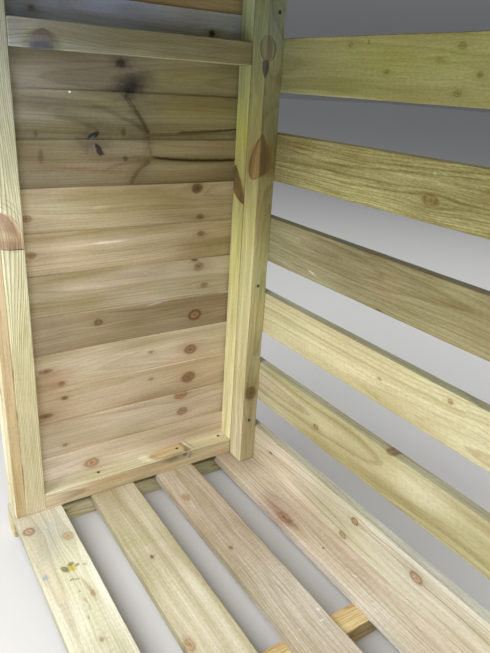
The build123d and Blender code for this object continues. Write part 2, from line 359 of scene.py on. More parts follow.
def wood(name, early=(216, 203, 152), late=(176, 148, 96), green=(178, 184, 128), ring=0.75, saw=0.5, extras=None, fuzz=0.10, least=0.25,
         olive=0.0):
    """Softwood.  The growth rings are shells round the board's own pith; they part round each knot."""
    mat = bpy.data.materials.new(name)
    t = Tree(mat)
    loc = t.attr("loc")
    ringc = t.sep(t.attr("ring"))
    shade = t.sep(t.attr("shade"))
    look = t.sep(t.attr("look"))
    kpos, kdir, kpar = t.attr("kpos"), t.attr("kdir"), t.sep(t.attr("kpar"))
    tint = t.attr("tint")
    seed = look[2]
    off = t.comb(t.m("MULTIPLY", seed, 7.31), t.m("MULTIPLY", seed, 3.77), t.m("MULTIPLY", seed, 5.93))

    # --- the nearest knot
    d0 = t.v("SUBTRACT", loc, kpos)
    along = t.v("DOT_PRODUCT", d0, kdir)
    d = t.v("SUBTRACT", d0, t.v("SCALE", kdir, scale=along))
    inv = t.m("DIVIDE", 1.0, kpar[0])
    dn = t.v("SCALE", d, scale=inv)
    flow = t.v("LENGTH", t.v("MULTIPLY", dn, (0.34, 1.0, 1.0)))
    wob = t.noise(t.v("ADD", loc, off), 95.0, 2.0, 0.6)
    wob0 = t.m("SUBTRACT", wob, 0.5)
    dk = t.v("MULTIPLY", dn, t.comb(t.m("DIVIDE", 1.0, kpar[1]), 1.0, 1.0))
    ragged = t.m("MINIMUM", t.m("MULTIPLY", inv, 0.0042), 0.62)
    kd = t.m("MULTIPLY_ADD", wob0, ragged, t.v("LENGTH", dk))
    g = t.m("MULTIPLY", t.m("EXPONENT", t.m("MULTIPLY", t.m("MULTIPLY", flow, flow), -0.26)), 0.90)
    perp = t.v("MULTIPLY", d, (0.0, 1.0, 1.0))
    p = t.v("SUBTRACT", loc, t.v("SCALE", perp, scale=g))

    # --- growth rings
    s = t.sep(p)
    rad = t.v("LENGTH", t.comb(0.0, t.m("SUBTRACT", s[1], ringc[0]), t.m("SUBTRACT", s[2], ringc[1])))
    phase = t.m("ADD", t.m("DIVIDE", rad, ringc[2]), t.m("MULTIPLY", wob0, 0.22))
    cell = t.m("FLOOR", phase)
    fr = t.m("FRACT", phase)
    white = t.node("ShaderNodeTexWhiteNoise", noise_dimensions="1D")
    t.put(white.inputs["W"], t.m("ADD", cell, t.m("MULTIPLY", seed, 11.0)))
    strength = t.line(white.outputs["Value"], 0.0, 1.0, least, 1.0)
    latewood = t.ramp(fr, [(0.0, 0.16), (0.14, 0.0), (0.42, 0.10), (0.70, 0.45), (0.86, 1.0), (0.95, 0.80), (1.0, 0.16)])
    latewood = t.m("MULTIPLY", latewood, t.m("MULTIPLY", strength, t.m("MULTIPLY", look[0], ring)))
    latewood = t.m("MULTIPLY", latewood, t.step(kd, 0.75, 1.15))
    band = t.node("ShaderNodeTexNoise", noise_dimensions="1D")
    t.put(band.inputs["W"], t.m("ADD", t.m("MULTIPLY", rad, 85.0), t.m("MULTIPLY", seed, 3.3)))
    band.inputs["Scale"].default_value = 1.0
    band.inputs["Detail"].default_value = 1.0
    bands = t.m("SUBTRACT", band.outputs[0], 0.5)

    # --- fibres
    fib = t.noise(t.v("ADD", t.v("MULTIPLY", p, (11.0, 300.0, 300.0)), off), 1.0, 1.0, 0.6)
    f0 = t.m("SUBTRACT", fib, 0.5)
    # a short nap, as a saw leaves it
    nap = t.noise(t.v("ADD", t.v("MULTIPLY", loc, (120.0, 420.0, 420.0)), off), 1.0, 1.0, 0.75)
    n0 = t.m("SUBTRACT", nap, 0.5)

    col = t.mix(shade[1], lin(*early), lin(*green))
    col = t.mix(latewood, col, lin(*late))
    tone = t.m("MULTIPLY_ADD", t.m("MULTIPLY", f0, look[1]), 0.62, 1.0)
    tone = t.m("MULTIPLY", tone, t.m("MULTIPLY_ADD", bands, 0.34, 1.0))
    tone = t.m("MULTIPLY", tone, t.m("MULTIPLY_ADD", n0, fuzz * 4.0, 1.0))
    tone = t.m("MULTIPLY", tone, shade[0])

    # --- saw marks: fine ridges almost square to the grain
    sl = t.sep(loc)
    saw_at = t.m("ADD", sl[0], t.m("ADD", t.m("MULTIPLY", sl[1], 0.16), t.m("MULTIPLY", wob0, 0.0011)))
    ridge = t.m("SINE", t.m("MULTIPLY", saw_at, 2 * math.pi / 0.0036))
    ridge2 = t.m("SINE", t.m("MULTIPLY", saw_at, 2 * math.pi / 0.0127))
    marks = t.m("MULTIPLY", t.m("MULTIPLY_ADD", ridge2, 0.6, ridge), shade[2])
    tone = t.m("MULTIPLY", tone, t.m("MULTIPLY_ADD", marks, 0.035 * saw, 1.0))
    # darker wood is also browner
    col = t.mix(1.0, col, t.comb(t.m("MULTIPLY_ADD", tone, 0.88, 0.12), tone, t.m("MULTIPLY_ADD", tone, 1.45, -0.45)), "MULTIPLY")

    # --- the knot: stained wood round it and along the grain, a soft outline, a paler heart
    shown = t.step(kpar[2], -0.5, -0.4)
    kind = t.m("FRACT", t.m("MAXIMUM", kpar[2], 0.0))
    edge = t.m("MULTIPLY", t.m("FLOOR", t.m("MAXIMUM", kpar[2], 0.0)), 0.1)
    inside = t.m("MULTIPLY", shown, t.step(kd, 0.42, 1.42, 1.0, 0.0))
    kd2 = t.m("MULTIPLY", kd, kd)
    halo = t.m("EXPONENT", t.m("MULTIPLY", kd2, -0.24))
    tail = t.m("EXPONENT", t.m("MULTIPLY", t.m("MULTIPLY", flow, flow), -1.1))
    halo = t.m("MULTIPLY", shown, t.m("MULTIPLY_ADD", tail, 0.55, t.m("MULTIPLY", halo, 0.6)))
    rim = t.m("EXPONENT", t.m("MULTIPLY", t.m("POWER", t.m("SUBTRACT", kd, 0.86), 2.0), -13.0))
    pith = t.m("EXPONENT", t.m("MULTIPLY", kd2, -22.0))
    kinds = [(0.0, (0.96, 0.77, 0.67)), (0.25, (0.80, 0.64, 0.52)), (0.5, (0.60, 0.49, 0.41)), (0.75, (0.38, 0.32, 0.27)), (1.0, (0.15, 0.13, 0.12))]
    kcol = t.ramp(kind, [(q, (r, g + (r - g) * olive, b + (r - b) * olive * 0.5)) for q, (r, g, b) in kinds])
    kring = t.m("FRACT", t.m("MULTIPLY_ADD", wob0, 0.8, t.m("MULTIPLY", kd, 3.6)))
    ktone = t.m("MULTIPLY", t.line(kring, 0.0, 1.0, 1.06, 0.93), t.ramp(kd, [(0.0, 0.50), (0.25, 0.50), (0.55, 0.60), (0.88, 0.44), (1.0, 0.50)]))
    ktone = t.m("MULTIPLY", ktone, 2.0)
    ktone = t.m("MULTIPLY", ktone, t.m("MULTIPLY_ADD", n0, 0.8, 1.0))
    kcol = t.mix(1.0, kcol, t.comb(ktone, ktone, ktone), "MULTIPLY")
    col = t.mix(t.m("MULTIPLY", halo, t.m("MULTIPLY_ADD", kind, 0.45, 0.30)), col, (0.70, 0.60 + 0.07 * olive, 0.49), "MULTIPLY")
    col = t.mix(inside, col, kcol, "MULTIPLY")
    rim_on = t.m("MULTIPLY", shown, t.m("MULTIPLY", rim, edge))
    col = t.mix(t.m("MULTIPLY", rim_on, 0.9), col, (0.42, 0.31, 0.25), "MULTIPLY")
    col = t.mix(t.m("MULTIPLY", shown, t.m("MULTIPLY", pith, 0.5)), col, (0.45, 0.35, 0.30), "MULTIPLY")
    col = t.mix(1.0, col, tint, "MULTIPLY")
    if extras:
        col = extras(t, col, wob0)

    # --- relief
    height = t.m("MULTIPLY_ADD", marks, 0.22 * saw, t.m("MULTIPLY_ADD", nap, 0.7, fib))
    bump = t.node("ShaderNodeBump")
    bump.inputs["Strength"].default_value = 0.5
    bump.inputs["Distance"].default_value = 0.0007
    t.put(bump.inputs["Height"], height)
    bs = t.node("ShaderNodeBsdfPrincipled")
    t.put(bs.inputs["Base Color"], col)
    t.put(bs.inputs["Roughness"], t.line(fib, 0.2, 0.8, 0.90, 0.72))
    bs.inputs["Specular IOR Level"].default_value = 0.25
    t.put(bs.inputs["Normal"], bump.outputs[0])
    out = t.node("ShaderNodeOutputMaterial")
    t.t.links.new(bs.outputs[0], out.inputs[0])
    return mat


def metal(name, colour, rough=0.42, metallic=1.0, rust=(112, 92, 70)):
    mat = bpy.data.materials.new(name)
    t = Tree(mat)
    tc = t.node("ShaderNodeTexCoord").outputs["Object"]
    n = t.noise(tc, 420.0, 3.0, 0.6)
    n2 = t.noise(tc, 90.0, 2.0, 0.5)
    col = t.mix(t.step(n, 0.35, 0.7), tuple(c * 0.55 for c in lin(*colour)), lin(*colour))
    col = t.mix(t.step(n2, 0.55, 0.75, 0.0, 0.5), col, lin(*rust))
    bs = t.node("ShaderNodeBsdfPrincipled")
    t.put(bs.inputs["Base Color"], col)
    bs.inputs["Metallic"].default_value = metallic
    t.put(bs.inputs["Roughness"], t.line(n, 0.3, 0.7, rough, rough + 0.22))
    bump = t.node("ShaderNodeBump")
    bump.inputs["Strength"].default_value = 0.3
    bump.inputs["Distance"].default_value = 0.0002
    t.put(bump.inputs["Height"], n)
    t.put(bs.inputs["Normal"], bump.outputs[0])
    out = t.node("ShaderNodeOutputMaterial")
    t.t.links.new(bs.outputs[0], out.inputs[0])
    return mat


# ---------------------------------------------------------------- marks
def blob(t, q, wob0, at2, size, turn=0.0, soft=0.35, ragged=0.9):
    """A mask: 1 inside an ellipse round at2 in the plane coordinates q = (a, b)."""
    c, s = math.cos(turn), math.sin(turn)
    x, y = t.m("SUBTRACT", q[0], at2[0]), t.m("SUBTRACT", q[1], at2[1])
    a = t.m("MULTIPLY", t.m("MULTIPLY_ADD", x, c, t.m("MULTIPLY", y, s)), 1.0 / size[0])
    b = t.m("MULTIPLY", t.m("MULTIPLY_ADD", x, -s, t.m("MULTIPLY", y, c)), 1.0 / size[1])
    r = t.m("SQRT", t.m("MULTIPLY_ADD", a, a, t.m("MULTIPLY", b, b)))
    r = t.m("MULTIPLY_ADD", wob0, ragged, r)
    return t.step(r, 1.0 - soft, 1.0 + soft, 1.0, 0.0)


def streak(t, q, wob0, p0, p1, width, bend=0.0):
    """A mask along the line p0 to p1, bent by bend at its middle, fading at both ends."""
    dx, dy = p1[0] - p0[0], p1[1] - p0[1]
    L = math.hypot(dx, dy)
    x, y = t.m("SUBTRACT", q[0], p0[0]), t.m("SUBTRACT", q[1], p0[1])
    f = t.m("MULTIPLY_ADD", x, dx / L / L, t.m("MULTIPLY", y, dy / L / L))
    d = t.m("MULTIPLY_ADD", x, -dy / L, t.m("MULTIPLY", y, dx / L))
    arch = t.m("MULTIPLY", t.m("MULTIPLY", f, t.m("SUBTRACT", 1.0, f)), 4.0 * bend)
    d = t.m("ABSOLUTE", t.m("MULTIPLY_ADD", wob0, width * 0.8, t.m("SUBTRACT", d, arch)))
    across = t.step(d, width * 0.35, width * 1.1, 1.0, 0.0)
    ends = t.m("MULTIPLY", t.step(f, -0.02, 0.06), t.step(f, 0.94, 1.02, 1.0, 0.0))
    return t.m("MULTIPLY", across, ends)


def place(t):
    return t.sep(t.node("ShaderNodeTexCoord").outputs["Object"])


def stain(t, col, mask, colour, amount, where=None, around=(150, 136, 104)):
    """Turns wood of the colour `around` into `colour` where the mask is 1; other wood shifts alike."""
    f = t.m("MULTIPLY", mask, amount)
    if where is not None:
        f = t.m("MULTIPLY", f, where)
    return t.mix(f, col, tuple(x / y for x, y in zip(lin(*colour), lin(*around))), "MULTIPLY")


def leaf(t, a, z, rows, wob0, ragged=0.0):
    """How far (a, z) is from the middle line of an outline, 1 at its edge.
    rows: (z, left, right) from the foot up, metres."""
    z0, z1 = rows[0][0], rows[-1][0]
    tt = t.line(z, z0, z1, 0.0, 1.0)
    stops = [((q - z0) / (z1 - z0), ((l + r) * 4.0 + 0.5, (r - l) * 4.0, 0.0)) for q, l, r in rows]
    c = t.sep(t.ramp(tt, stops))
    half = t.m("MAXIMUM", t.m("MULTIPLY", c[1], 0.125), 0.0002)
    off = t.m("SUBTRACT", a, t.m("MULTIPLY", t.m("SUBTRACT", c[0], 0.5), 0.125))
    d = t.m("ABSOLUTE", t.m("MULTIPLY_ADD", wob0, ragged, off))
    inside_rows = t.m("MULTIPLY", t.step(z, z0 - 0.001, z0 + 0.0005), t.step(z, z1 - 0.0005, z1 + 0.001, 1.0, 0.0))
    return t.m("ADD", t.m("DIVIDE", d, half), t.m("MULTIPLY", t.m("SUBTRACT", 1.0, inside_rows), 9.0))


def band(t, d, inner, outer, soft):
    """1 where inner < d < outer, with soft flanks."""
    return t.m("MULTIPLY", t.step(d, inner - soft, inner + soft), t.step(d, outer - soft, outer + soft, 1.0, 0.0))


def clad_marks(t, col, wob0):
    P = place(t)
    q = (P[1], P[2])
    facing = t.sep(t.node("ShaderNodeNewGeometry").outputs["Normal"])[0]
    left = t.m("MULTIPLY", t.step(P[0], -0.50, -0.49, 1.0, 0.0), t.step(facing, 0.2, 0.4))
    for c, size, turn, soft, colour, amount in (
        # soft shade round the branchwood and the cracks
        ((0.004, 0.950), (0.036, 0.020), 0.45, 0.9, (72, 66, 50), 0.95),
        ((-0.002, 0.944), (0.018, 0.012), 0.3, 0.9, (70, 64, 52), 0.95),
        ((-0.014, 0.9375), (0.032, 0.0060), 0.05, 0.9, (76, 68, 52), 0.85),
        ((-0.022, 0.984), (0.020, 0.011), 0.0, 0.9, (72, 60, 46), 0.9),
        ((-0.022, 0.983), (0.009, 0.007), 0.0, 0.7, (64, 52, 42), 0.9),
        ((0.010, 0.890), (0.012, 0.042), 0.50, 0.9, (88, 78, 53), 0.65),
        ((-0.150, 0.909), (0.095, 0.009), -0.04, 0.9, (84, 74, 52), 0.8),
        ((-0.110, 0.882), (0.060, 0.009), -0.22, 0.9, (86, 76, 50), 0.7),
        ((-0.083, 0.840), (0.032, 0.022), 0.0, 0.9, (74, 64, 46), 0.85),
        ((0.034, 0.832), (0.010, 0.028), 0.0, 0.9, (92, 80, 55), 0.5),
        ((0.014, 0.784), (0.015, 0.034), -0.6, 0.9, (90, 77, 53), 0.6),
        ((0.140, 0.852), (0.120, 0.008), 0.04, 0.9, (84, 76, 46), 0.8),
        ((0.140, 0.803), (0.120, 0.008), -0.03, 0.9, (84, 74, 46), 0.8),
        ((-0.120, 0.793), (0.085, 0.010), -0.05, 0.9, (104, 90, 63), 0.8),
        ((-0.050, 0.772), (0.060, 0.010), 0.25, 0.9, (104, 91, 61), 0.7),
        ((-0.090, 0.787), (0.060, 0.0035), -0.10, 0.8, (96, 82, 57), 0.6),
        ((-0.060, 0.806), (0.050, 0.0030), 0.05, 0.8, (96, 83, 57), 0.5),
        ((-0.150, 0.826), (0.060, 0.007), -0.05, 0.9, (106, 92, 66), 0.5),
        ((-0.183, 0.814), (0.005, 0.011), 0.0, 0.7, (82, 66, 48), 0.7),
        ((-0.189, 0.854), (0.0035, 0.006), 0.0, 0.7, (78, 66, 44), 0.7),
        ((-0.0195, 0.859), (0.0045, 0.0065), 0.0, 0.6, (76, 60, 40), 0.75),
        ((-0.016, 0.808), (0.0048, 0.0055), 0.0, 0.6, (78, 56, 42), 0.8),
        ((0.120, 0.965), (0.090, 0.030), 0.0, 0.9, (112, 106, 68), 0.6),
        ((0.150, 0.900), (0.080, 0.022), 0.0, 0.9, (118, 110, 66), 0.6),
        ((-0.190, 0.900), (0.060, 0.028), 0.0, 0.9, (122, 112, 90), 0.5),
        ((-0.060, 0.912), (0.050, 0.006), -0.1, 0.9, (122, 112, 72), 0.6),
    ):
        col = stain(t, col, blob(t, q, wob0, c, size, turn, soft, 1.1), colour, amount, left, (106, 97, 70))
    for (y0, z0), (y1, z1), w, bend, colour, amount in (
        ((0.034, 0.8545), (0.246, 0.867), 0.0036, -0.003, (84, 73, 48), 0.75), ((0.100, 0.8585), (0.249, 0.867), 0.0030, -0.001, (62, 54, 37), 0.85),
        ((0.036, 0.8100), (0.246, 0.802), 0.0046, -0.004, (70, 60, 40), 0.80), ((0.045, 0.8092), (0.249, 0.802), 0.0026, -0.004, (52, 46, 32), 0.85),
        ((0.050, 0.8510), (0.150, 0.856), 0.0018, -0.001, (92, 80, 54), 0.6), ((0.110, 0.8580), (0.246, 0.871), 0.0018, -0.002, (124, 116, 80), 0.6), ((0.090, 0.8150), (0.246, 0.808), 0.0016, -0.004, (118, 110, 74), 0.6),
        ((-0.019, 0.929), (0.036, 0.856), 0.0054, 0.002, (70, 61, 43), 0.80), ((-0.012, 0.921), (0.004, 0.898), 0.0014, 0.001, (140, 134, 104), 0.7),
        ((-0.024, 0.886), (0.036, 0.855), 0.0056, 0.003, (82, 71, 48), 0.65), ((-0.083, 0.904), (-0.022, 0.885), 0.0060, 0.004, (88, 77, 52), 0.60),
        ((0.036, 0.852), (0.042, 0.812), 0.0040, -0.005, (90, 76, 52), 0.55), ((0.037, 0.804), (-0.005, 0.757), 0.0066, -0.004, (84, 72, 48), 0.70),
        ((0.026, 0.790), (0.004, 0.764), 0.0016, -0.002, (128, 120, 86), 0.6), ((-0.153, 0.884), (-0.066, 0.858), 0.0050, 0.006, (90, 80, 56), 0.5),
        ((-0.060, 0.786), (0.020, 0.802), 0.0044, 0.004, (92, 75, 52), 0.5),
    ):
        col = stain(t, col, streak(t, q, wob0, (y0, z0), (y1, z1), w, bend), colour, amount, left, (106, 97, 70))
    for c, size, turn, soft, colour, amount in (
        # two bark pockets with pale lips
        ((-0.079, 0.853), (0.0175, 0.0085), 0.5, 0.5, (112, 102, 74), 0.7),
        ((-0.072, 0.825), (0.0185, 0.0095), -0.95, 0.5, (108, 98, 70), 0.7),
        ((-0.079, 0.852), (0.012, 0.0052), 0.5, 0.3, (40, 38, 32), 0.9),
        ((-0.072, 0.825), (0.013, 0.0062), -0.95, 0.3, (38, 34, 28), 0.9),
        ((-0.0825, 0.8475), (0.0052, 0.0022), 0.5, 0.5, (172, 170, 146), 0.9),
        ((-0.0790, 0.8290), (0.0055, 0.0022), -1.1, 0.5, (168, 164, 138), 0.9),
        ((-0.124, 0.9282), (0.0022, 0.0015), 0.0, 0.4, (220, 220, 206), 0.9),
    ):
        col = stain(t, col, blob(t, q, wob0, c, size, turn, soft), colour, amount, left, (106, 97, 70))
    for c, size, turn, soft, colour, amount in (
        # painted highlight: two thin pale lines just under board 4's top edge, where the edge catches light
        ((0.049, 0.4895), (0.021, 0.0017), 0.10, 0.5, (178, 186, 168), 0.9),
        ((0.228, 0.4925), (0.016, 0.0016), 0.0, 0.5, (178, 188, 172), 0.9),
        ((-0.060, 0.640), (0.030, 0.0024), 0.0, 0.8, (192, 178, 148), 0.6),
        ((-0.073, 0.711), (0.012, 0.006), 0.0, 0.8, (176, 160, 124), 0.6),
        ((-0.085, 0.466), (0.0024, 0.0024), 0.0, 0.4, (206, 190, 164), 0.8),
        ((0.156, 0.608), (0.050, 0.026), 0.0, 0.9, (128, 108, 70), 0.6),
        ((0.140, 0.320), (0.055, 0.060), 0.0, 0.9, (150, 124, 88), 0.55),
        ((-0.060, 0.560), (0.090, 0.016), 0.1, 0.9, (176, 150, 122), 0.5),
        ((-0.150, 0.720), (0.060, 0.018), 0.0, 0.9, (168, 156, 124), 0.5),
        ((-0.185, 0.350), (0.034, 0.020), 0.2, 0.9, (150, 116, 84), 0.6),
        ((0.020, 0.250), (0.070, 0.014), 0.1, 0.9, (138, 112, 80), 0.4),
        ((0.120, 0.130), (0.050, 0.012), 0.0, 0.9, (148, 124, 92), 0.4),
    ):
        col = stain(t, col, blob(t, q, wob0, c, size, turn, soft), colour, amount, left, (156, 138, 104))
    return col


def floor_marks(t, col, wob0):
    P = place(t)
    q = (P[0], P[1])
    for c, size, turn, soft, colour, amount in (
        ((-0.3535, -0.2430), (0.0105, 0.0075), 0.3, 0.35, (208, 192, 92), 0.95),
        ((-0.3635, -0.2410), (0.0050, 0.0070), 0.3, 0.35, (150, 146, 90), 0.9),
        ((-0.3565, -0.2560), (0.0080, 0.0058), 0.3, 0.30, (140, 144, 108), 0.95),
        ((-0.3555, -0.2310), (0.0040, 0.0056), 0.3, 0.35, (158, 154, 110), 0.85),
        ((-0.3470, -0.2520), (0.0035, 0.0050), 0.3, 0.35, (168, 164, 104), 0.8),
        ((-0.3520, -0.2940), (0.0072, 0.0060), 0.0, 0.45, (176, 198, 194), 0.90),
        ((-0.3500, -0.2175), (0.0050, 0.0044), 0.0, 0.45, (180, 190, 168), 0.85),
        ((-0.3235, -0.2525), (0.0018, 0.0052), 0.30, 0.4, (146, 152, 120), 0.85),
        ((-0.3200, -0.2430), (0.0018, 0.0050), -0.35, 0.4, (150, 156, 124), 0.85),
        ((-0.2890, -0.2487), (0.0026, 0.0020), 0.0, 0.5, (176, 172, 144), 0.8),
        ((-0.2640, -0.2460), (0.0090, 0.0022), 0.2, 0.6, (196, 186, 152), 0.8),
        ((-0.2460, -0.2440), (0.0060, 0.0020), -0.3, 0.6, (198, 190, 158), 0.8),
        ((-0.2230, -0.2540), (0.0040, 0.0022), 0.0, 0.6, (190, 182, 148), 0.8),
        ((-0.2900, -0.2310), (0.0280, 0.0035), 0.15, 0.8, (190, 170, 136), 0.8),
        ((-0.4700, -0.2500), (0.0420, 0.0300), 0.0, 0.9, (206, 206, 196), 0.6),
        ((-0.4150, -0.2700), (0.0300, 0.0220), 0.0, 0.9, (208, 208, 196), 0.5),
    ):
        col = stain(t, col, blob(t, q, wob0, c, size, turn, soft), colour, amount, None, (230, 224, 194))
    for c, size, turn, soft, colour, amount in (
        ((-0.030, 0.118), (0.0040, 0.0035), 0.0, 0.3, (218, 212, 196), 0.8),
        ((-0.008, 0.109), (0.0026, 0.0042), 0.0, 0.3, (224, 218, 204), 0.8),
        ((-0.0115, 0.060), (0.0040, 0.0035), 0.0, 0.3, (196, 198, 186), 0.8),
        ((-0.150, 0.230), (0.0030, 0.0030), 0.0, 0.3, (110, 88, 70), 0.8),
        ((-0.0585, 0.2345), (0.0055, 0.0026), 0.5, 0.3, (218, 212, 198), 0.8),
        ((-0.3000, 0.2160), (0.0420, 0.0140), 0.1, 0.9, (160, 132, 108), 0.7),
        ((-0.2450, 0.2130), (0.0220, 0.0090), 0.3, 0.8, (152, 124, 100), 0.7),
        ((-0.3400, 0.2340), (0.0260, 0.0120), 0.3, 0.9, (176, 152, 126), 0.6),
    ):
        col = stain(t, col, blob(t, q, wob0, c, size, turn, soft), colour, amount, None, (196, 180, 150))
    return col


def profile(t, col, d, stops, where, arcs=0.0, wob0=None, turns=30.0):
    """Multiplies the wood by a factor that follows the outline distance d: (d, (r, g, b)), d up to 2."""
    f = t.ramp(t.m("MULTIPLY", d, 0.5), [(q / 2.0, tuple(0.5 * c for c in rgb)) for q, rgb in stops])
    f = t.mix(1.0, f, (2.0, 2.0, 2.0), "MULTIPLY")
    if arcs:
        wave = t.m("SINE", t.m("MULTIPLY_ADD", wob0, 5.0, t.m("MULTIPLY", d, turns)))
        k = t.m("MULTIPLY_ADD", t.m("MULTIPLY", wave, t.step(d, 0.75, 0.95, 1.0, 0.0)), arcs, 1.0)
        f = t.mix(1.0, f, t.comb(k, k, k), "MULTIPLY")
    return t.mix(where, col, f, "MULTIPLY")


def back_post_marks(t, col, wob0):
    P = place(t)
    # the post's inner corner, unfolded: one coordinate across both faces
    a = t.m("ADD", t.m("ADD", P[0], 0.4965), t.m("SUBTRACT", P[1], 0.240))
    here = t.m("MULTIPLY", t.step(P[1], 0.2805, 0.2815, 1.0, 0.0), t.step(P[0], -0.5455, -0.5445))
    d = leaf(t, a, P[2], [
        (0.7700, -0.0240, -0.0180), (0.7760, -0.0300, -0.0060), (0.7830, -0.0335, 0.0160), (0.7900, -0.0340, 0.0240),
        (0.8000, -0.0335, 0.0268), (0.8225, -0.0265, 0.0255), (0.8425, -0.0160, 0.0195), (0.8570, -0.0030, 0.0110),
        (0.8680, 0.0030, 0.0048)], wob0, 0.004)
    side = t.m("MULTIPLY", here, t.step(a, -0.0004, 0.0004))
    front = t.m("MULTIPLY", here, t.step(a, -0.0004, 0.0004, 1.0, 0.0))
    col = profile(t, col, d, (
        (0.0, (0.74, 0.57, 0.47)), (0.45, (0.71, 0.54, 0.45)), (0.72, (0.67, 0.49, 0.43)), (0.90, (0.55, 0.38, 0.33)),
        (1.02, (0.46, 0.31, 0.26)), (1.12, (0.60, 0.45, 0.36)), (1.28, (0.94, 0.82, 0.70)), (1.65, (0.98, 0.93, 0.85)),
        (2.0, (1.0, 1.0, 1.0))), front, 0.06, wob0)
    col = profile(t, col, d, (
        (0.0, (0.80, 0.61, 0.49)), (0.45, (0.68, 0.52, 0.44)), (0.72, (0.60, 0.44, 0.42)), (0.90, (0.76, 0.56, 0.54)),
        (1.02, (0.88, 0.64, 0.62)), (1.12, (1.02, 0.80, 0.72)), (1.28, (1.06, 0.88, 0.78)), (1.65, (0.96, 0.86, 0.80)),
        (2.0, (1.0, 1.0, 1.0))), side, 0.06, wob0)
    dark = blob(t, (a, P[2]), wob0, (0.0080, 0.818), (0.0075, 0.034), 0.05, 0.6, 0.5)
    col = stain(t, col, dark, (84, 70, 46), 0.95, here, (101, 85, 53))
    d = leaf(t, a, P[2], [
        (1.0035, -0.0040, 0.0060), (1.0060, -0.0080, 0.0140), (1.0120, -0.0140, 0.0190), (1.0200, -0.0180, 0.0215),
        (1.0280, -0.0210, 0.0220), (1.0360, -0.0212, 0.0200), (1.0420, -0.0190, 0.0165), (1.0470, -0.0125, 0.0120),
        (1.0510, -0.0040, 0.0060)], wob0, 0.003)
    oval = (
        (0.0, (0.90, 0.80, 0.84)), (0.50, (0.82, 0.71, 0.74)), (0.68, (0.90, 0.82, 0.84)), (0.79, (1.10, 1.05, 1.04)),
        (0.90, (0.60, 0.56, 0.62)), (1.00, (0.46, 0.47, 0.50)), (1.10, (0.80, 0.78, 0.78)), (1.20, (1.10, 1.10, 1.05)),
        (1.45, (1.0, 1.0, 1.0)))
    col = profile(t, col, d, tuple((q, tuple(c * (0.76 if 0.6 < q < 0.95 else 1.08) for c in rgb)) for q, rgb in oval), front)
    col = profile(t, col, d, tuple((q, tuple(c * (0.80 if q < 0.75 else 1.02) for c in rgb)) for q, rgb in oval), side)
    d = leaf(t, a, P[2], [
        (0.9725, -0.0005, 0.0012), (0.9780, -0.0036, 0.0034), (0.9840, -0.0072, 0.0066), (0.9900, -0.0092, 0.0088),
        (0.9980, -0.0100, 0.0090), (1.0035, -0.0102, 0.0078), (1.0060, -0.0055, 0.0030)], wob0, 0.002)
    col = profile(t, col, d, (
        (0.0, (0.37, 0.38, 0.60)), (0.70, (0.34, 0.33, 0.48)), (0.95, (0.40, 0.38, 0.44)), (1.20, (0.96, 0.95, 0.92)),
        (1.4, (1.0, 1.0, 1.0))), here)
    # a dark line down the joint with the rear post: partly dirt in the joint, partly painted shade in the gap
    seam = t.m("MULTIPLY", t.step(t.m("MULTIPLY_ADD", wob0, 0.0012, P[0]), -0.5456, -0.5444, 1.0, 0.0), t.step(P[1], 0.2410, 0.2420, 1.0, 0.0))
    col = stain(t, col, seam, (104, 92, 52), 0.9, t.step(P[0], -0.50, -0.499, 1.0, 0.0), (160, 152, 100))
    q = (a, P[2])
    for p0, p1, w, bend, colour, amount in (
        ((-0.0235, 1.031), (-0.0215, 1.001), 0.0014, -0.008, (120, 120, 84), 0.9),
        ((-0.0215, 1.029), (-0.0195, 1.002), 0.0012, -0.007, (74, 74, 48), 0.8),
        ((0.0036, 0.870), (0.0020, 0.960), 0.0016, 0.001, (78, 76, 50), 0.5),
        ((0.0200, 0.864), (0.0360, 0.905), 0.0020, 0.003, (84, 82, 54), 0.5),
        ((-0.0080, 0.862), (-0.0300, 0.905), 0.0024, -0.003, (112, 108, 66), 0.5),
    ):
        col = stain(t, col, streak(t, q, wob0, p0, p1, w, bend), colour, amount, here, (98, 98, 66))
    return col


def rear_post_marks(t, col, wob0):
    P = place(t)
    here = t.m("MULTIPLY", t.step(P[1], 0.2440, 0.2450, 1.0, 0.0), t.step(P[0], -0.54, -0.539, 1.0, 0.0))
    d = leaf(t, t.m("ADD", P[0], 0.5700), P[2], [
        (0.7115, 0.0190, 0.0225), (0.7160, 0.0060, 0.0240), (0.7230, -0.0060, 0.0235), (0.7340, -0.0180, 0.0205), (0.7450, -0.0240, 0.0155),
        (0.7600, -0.0270, 0.0075), (0.7720, -0.0260, -0.0010), (0.7830, -0.0235, -0.0090), (0.7920, -0.0190, -0.0150)], wob0, 0.004)
    col = profile(t, col, d, (
        (0.0, (0.36, 0.25, 0.24)), (0.60, (0.34, 0.24, 0.225)), (0.82, (0.39, 0.30, 0.25)), (0.96, (0.34, 0.26, 0.215)),
        (1.06, (0.60, 0.50, 0.40)), (1.25, (0.90, 0.84, 0.72)), (1.60, (0.98, 0.95, 0.86)), (2.0, (1.0, 1.0, 1.0))), here, 0.09, wob0)
    q = (P[0], P[2])
    # painted shade down the post's outer edge, next to the cladding, beside the knot
    col = stain(t, col, blob(t, q, wob0, (-0.6010, 0.735), (0.010, 0.036), 0.0, 0.6, 0.5), (119, 105, 67), 0.9, here, (138, 126, 80))
    # a dark line down the joint with the back post: partly dirt in the joint, partly painted shade in the gap
    seam = t.m("MULTIPLY", t.step(t.m("MULTIPLY_ADD", wob0, 0.0012, P[0]), -0.5484, -0.5474), t.step(P[1], 0.2410, 0.2420, 1.0, 0.0))
    return stain(t, col, seam, (112, 100, 58), 0.9, t.step(P[0], -0.50, -0.499, 1.0, 0.0), (160, 152, 100))


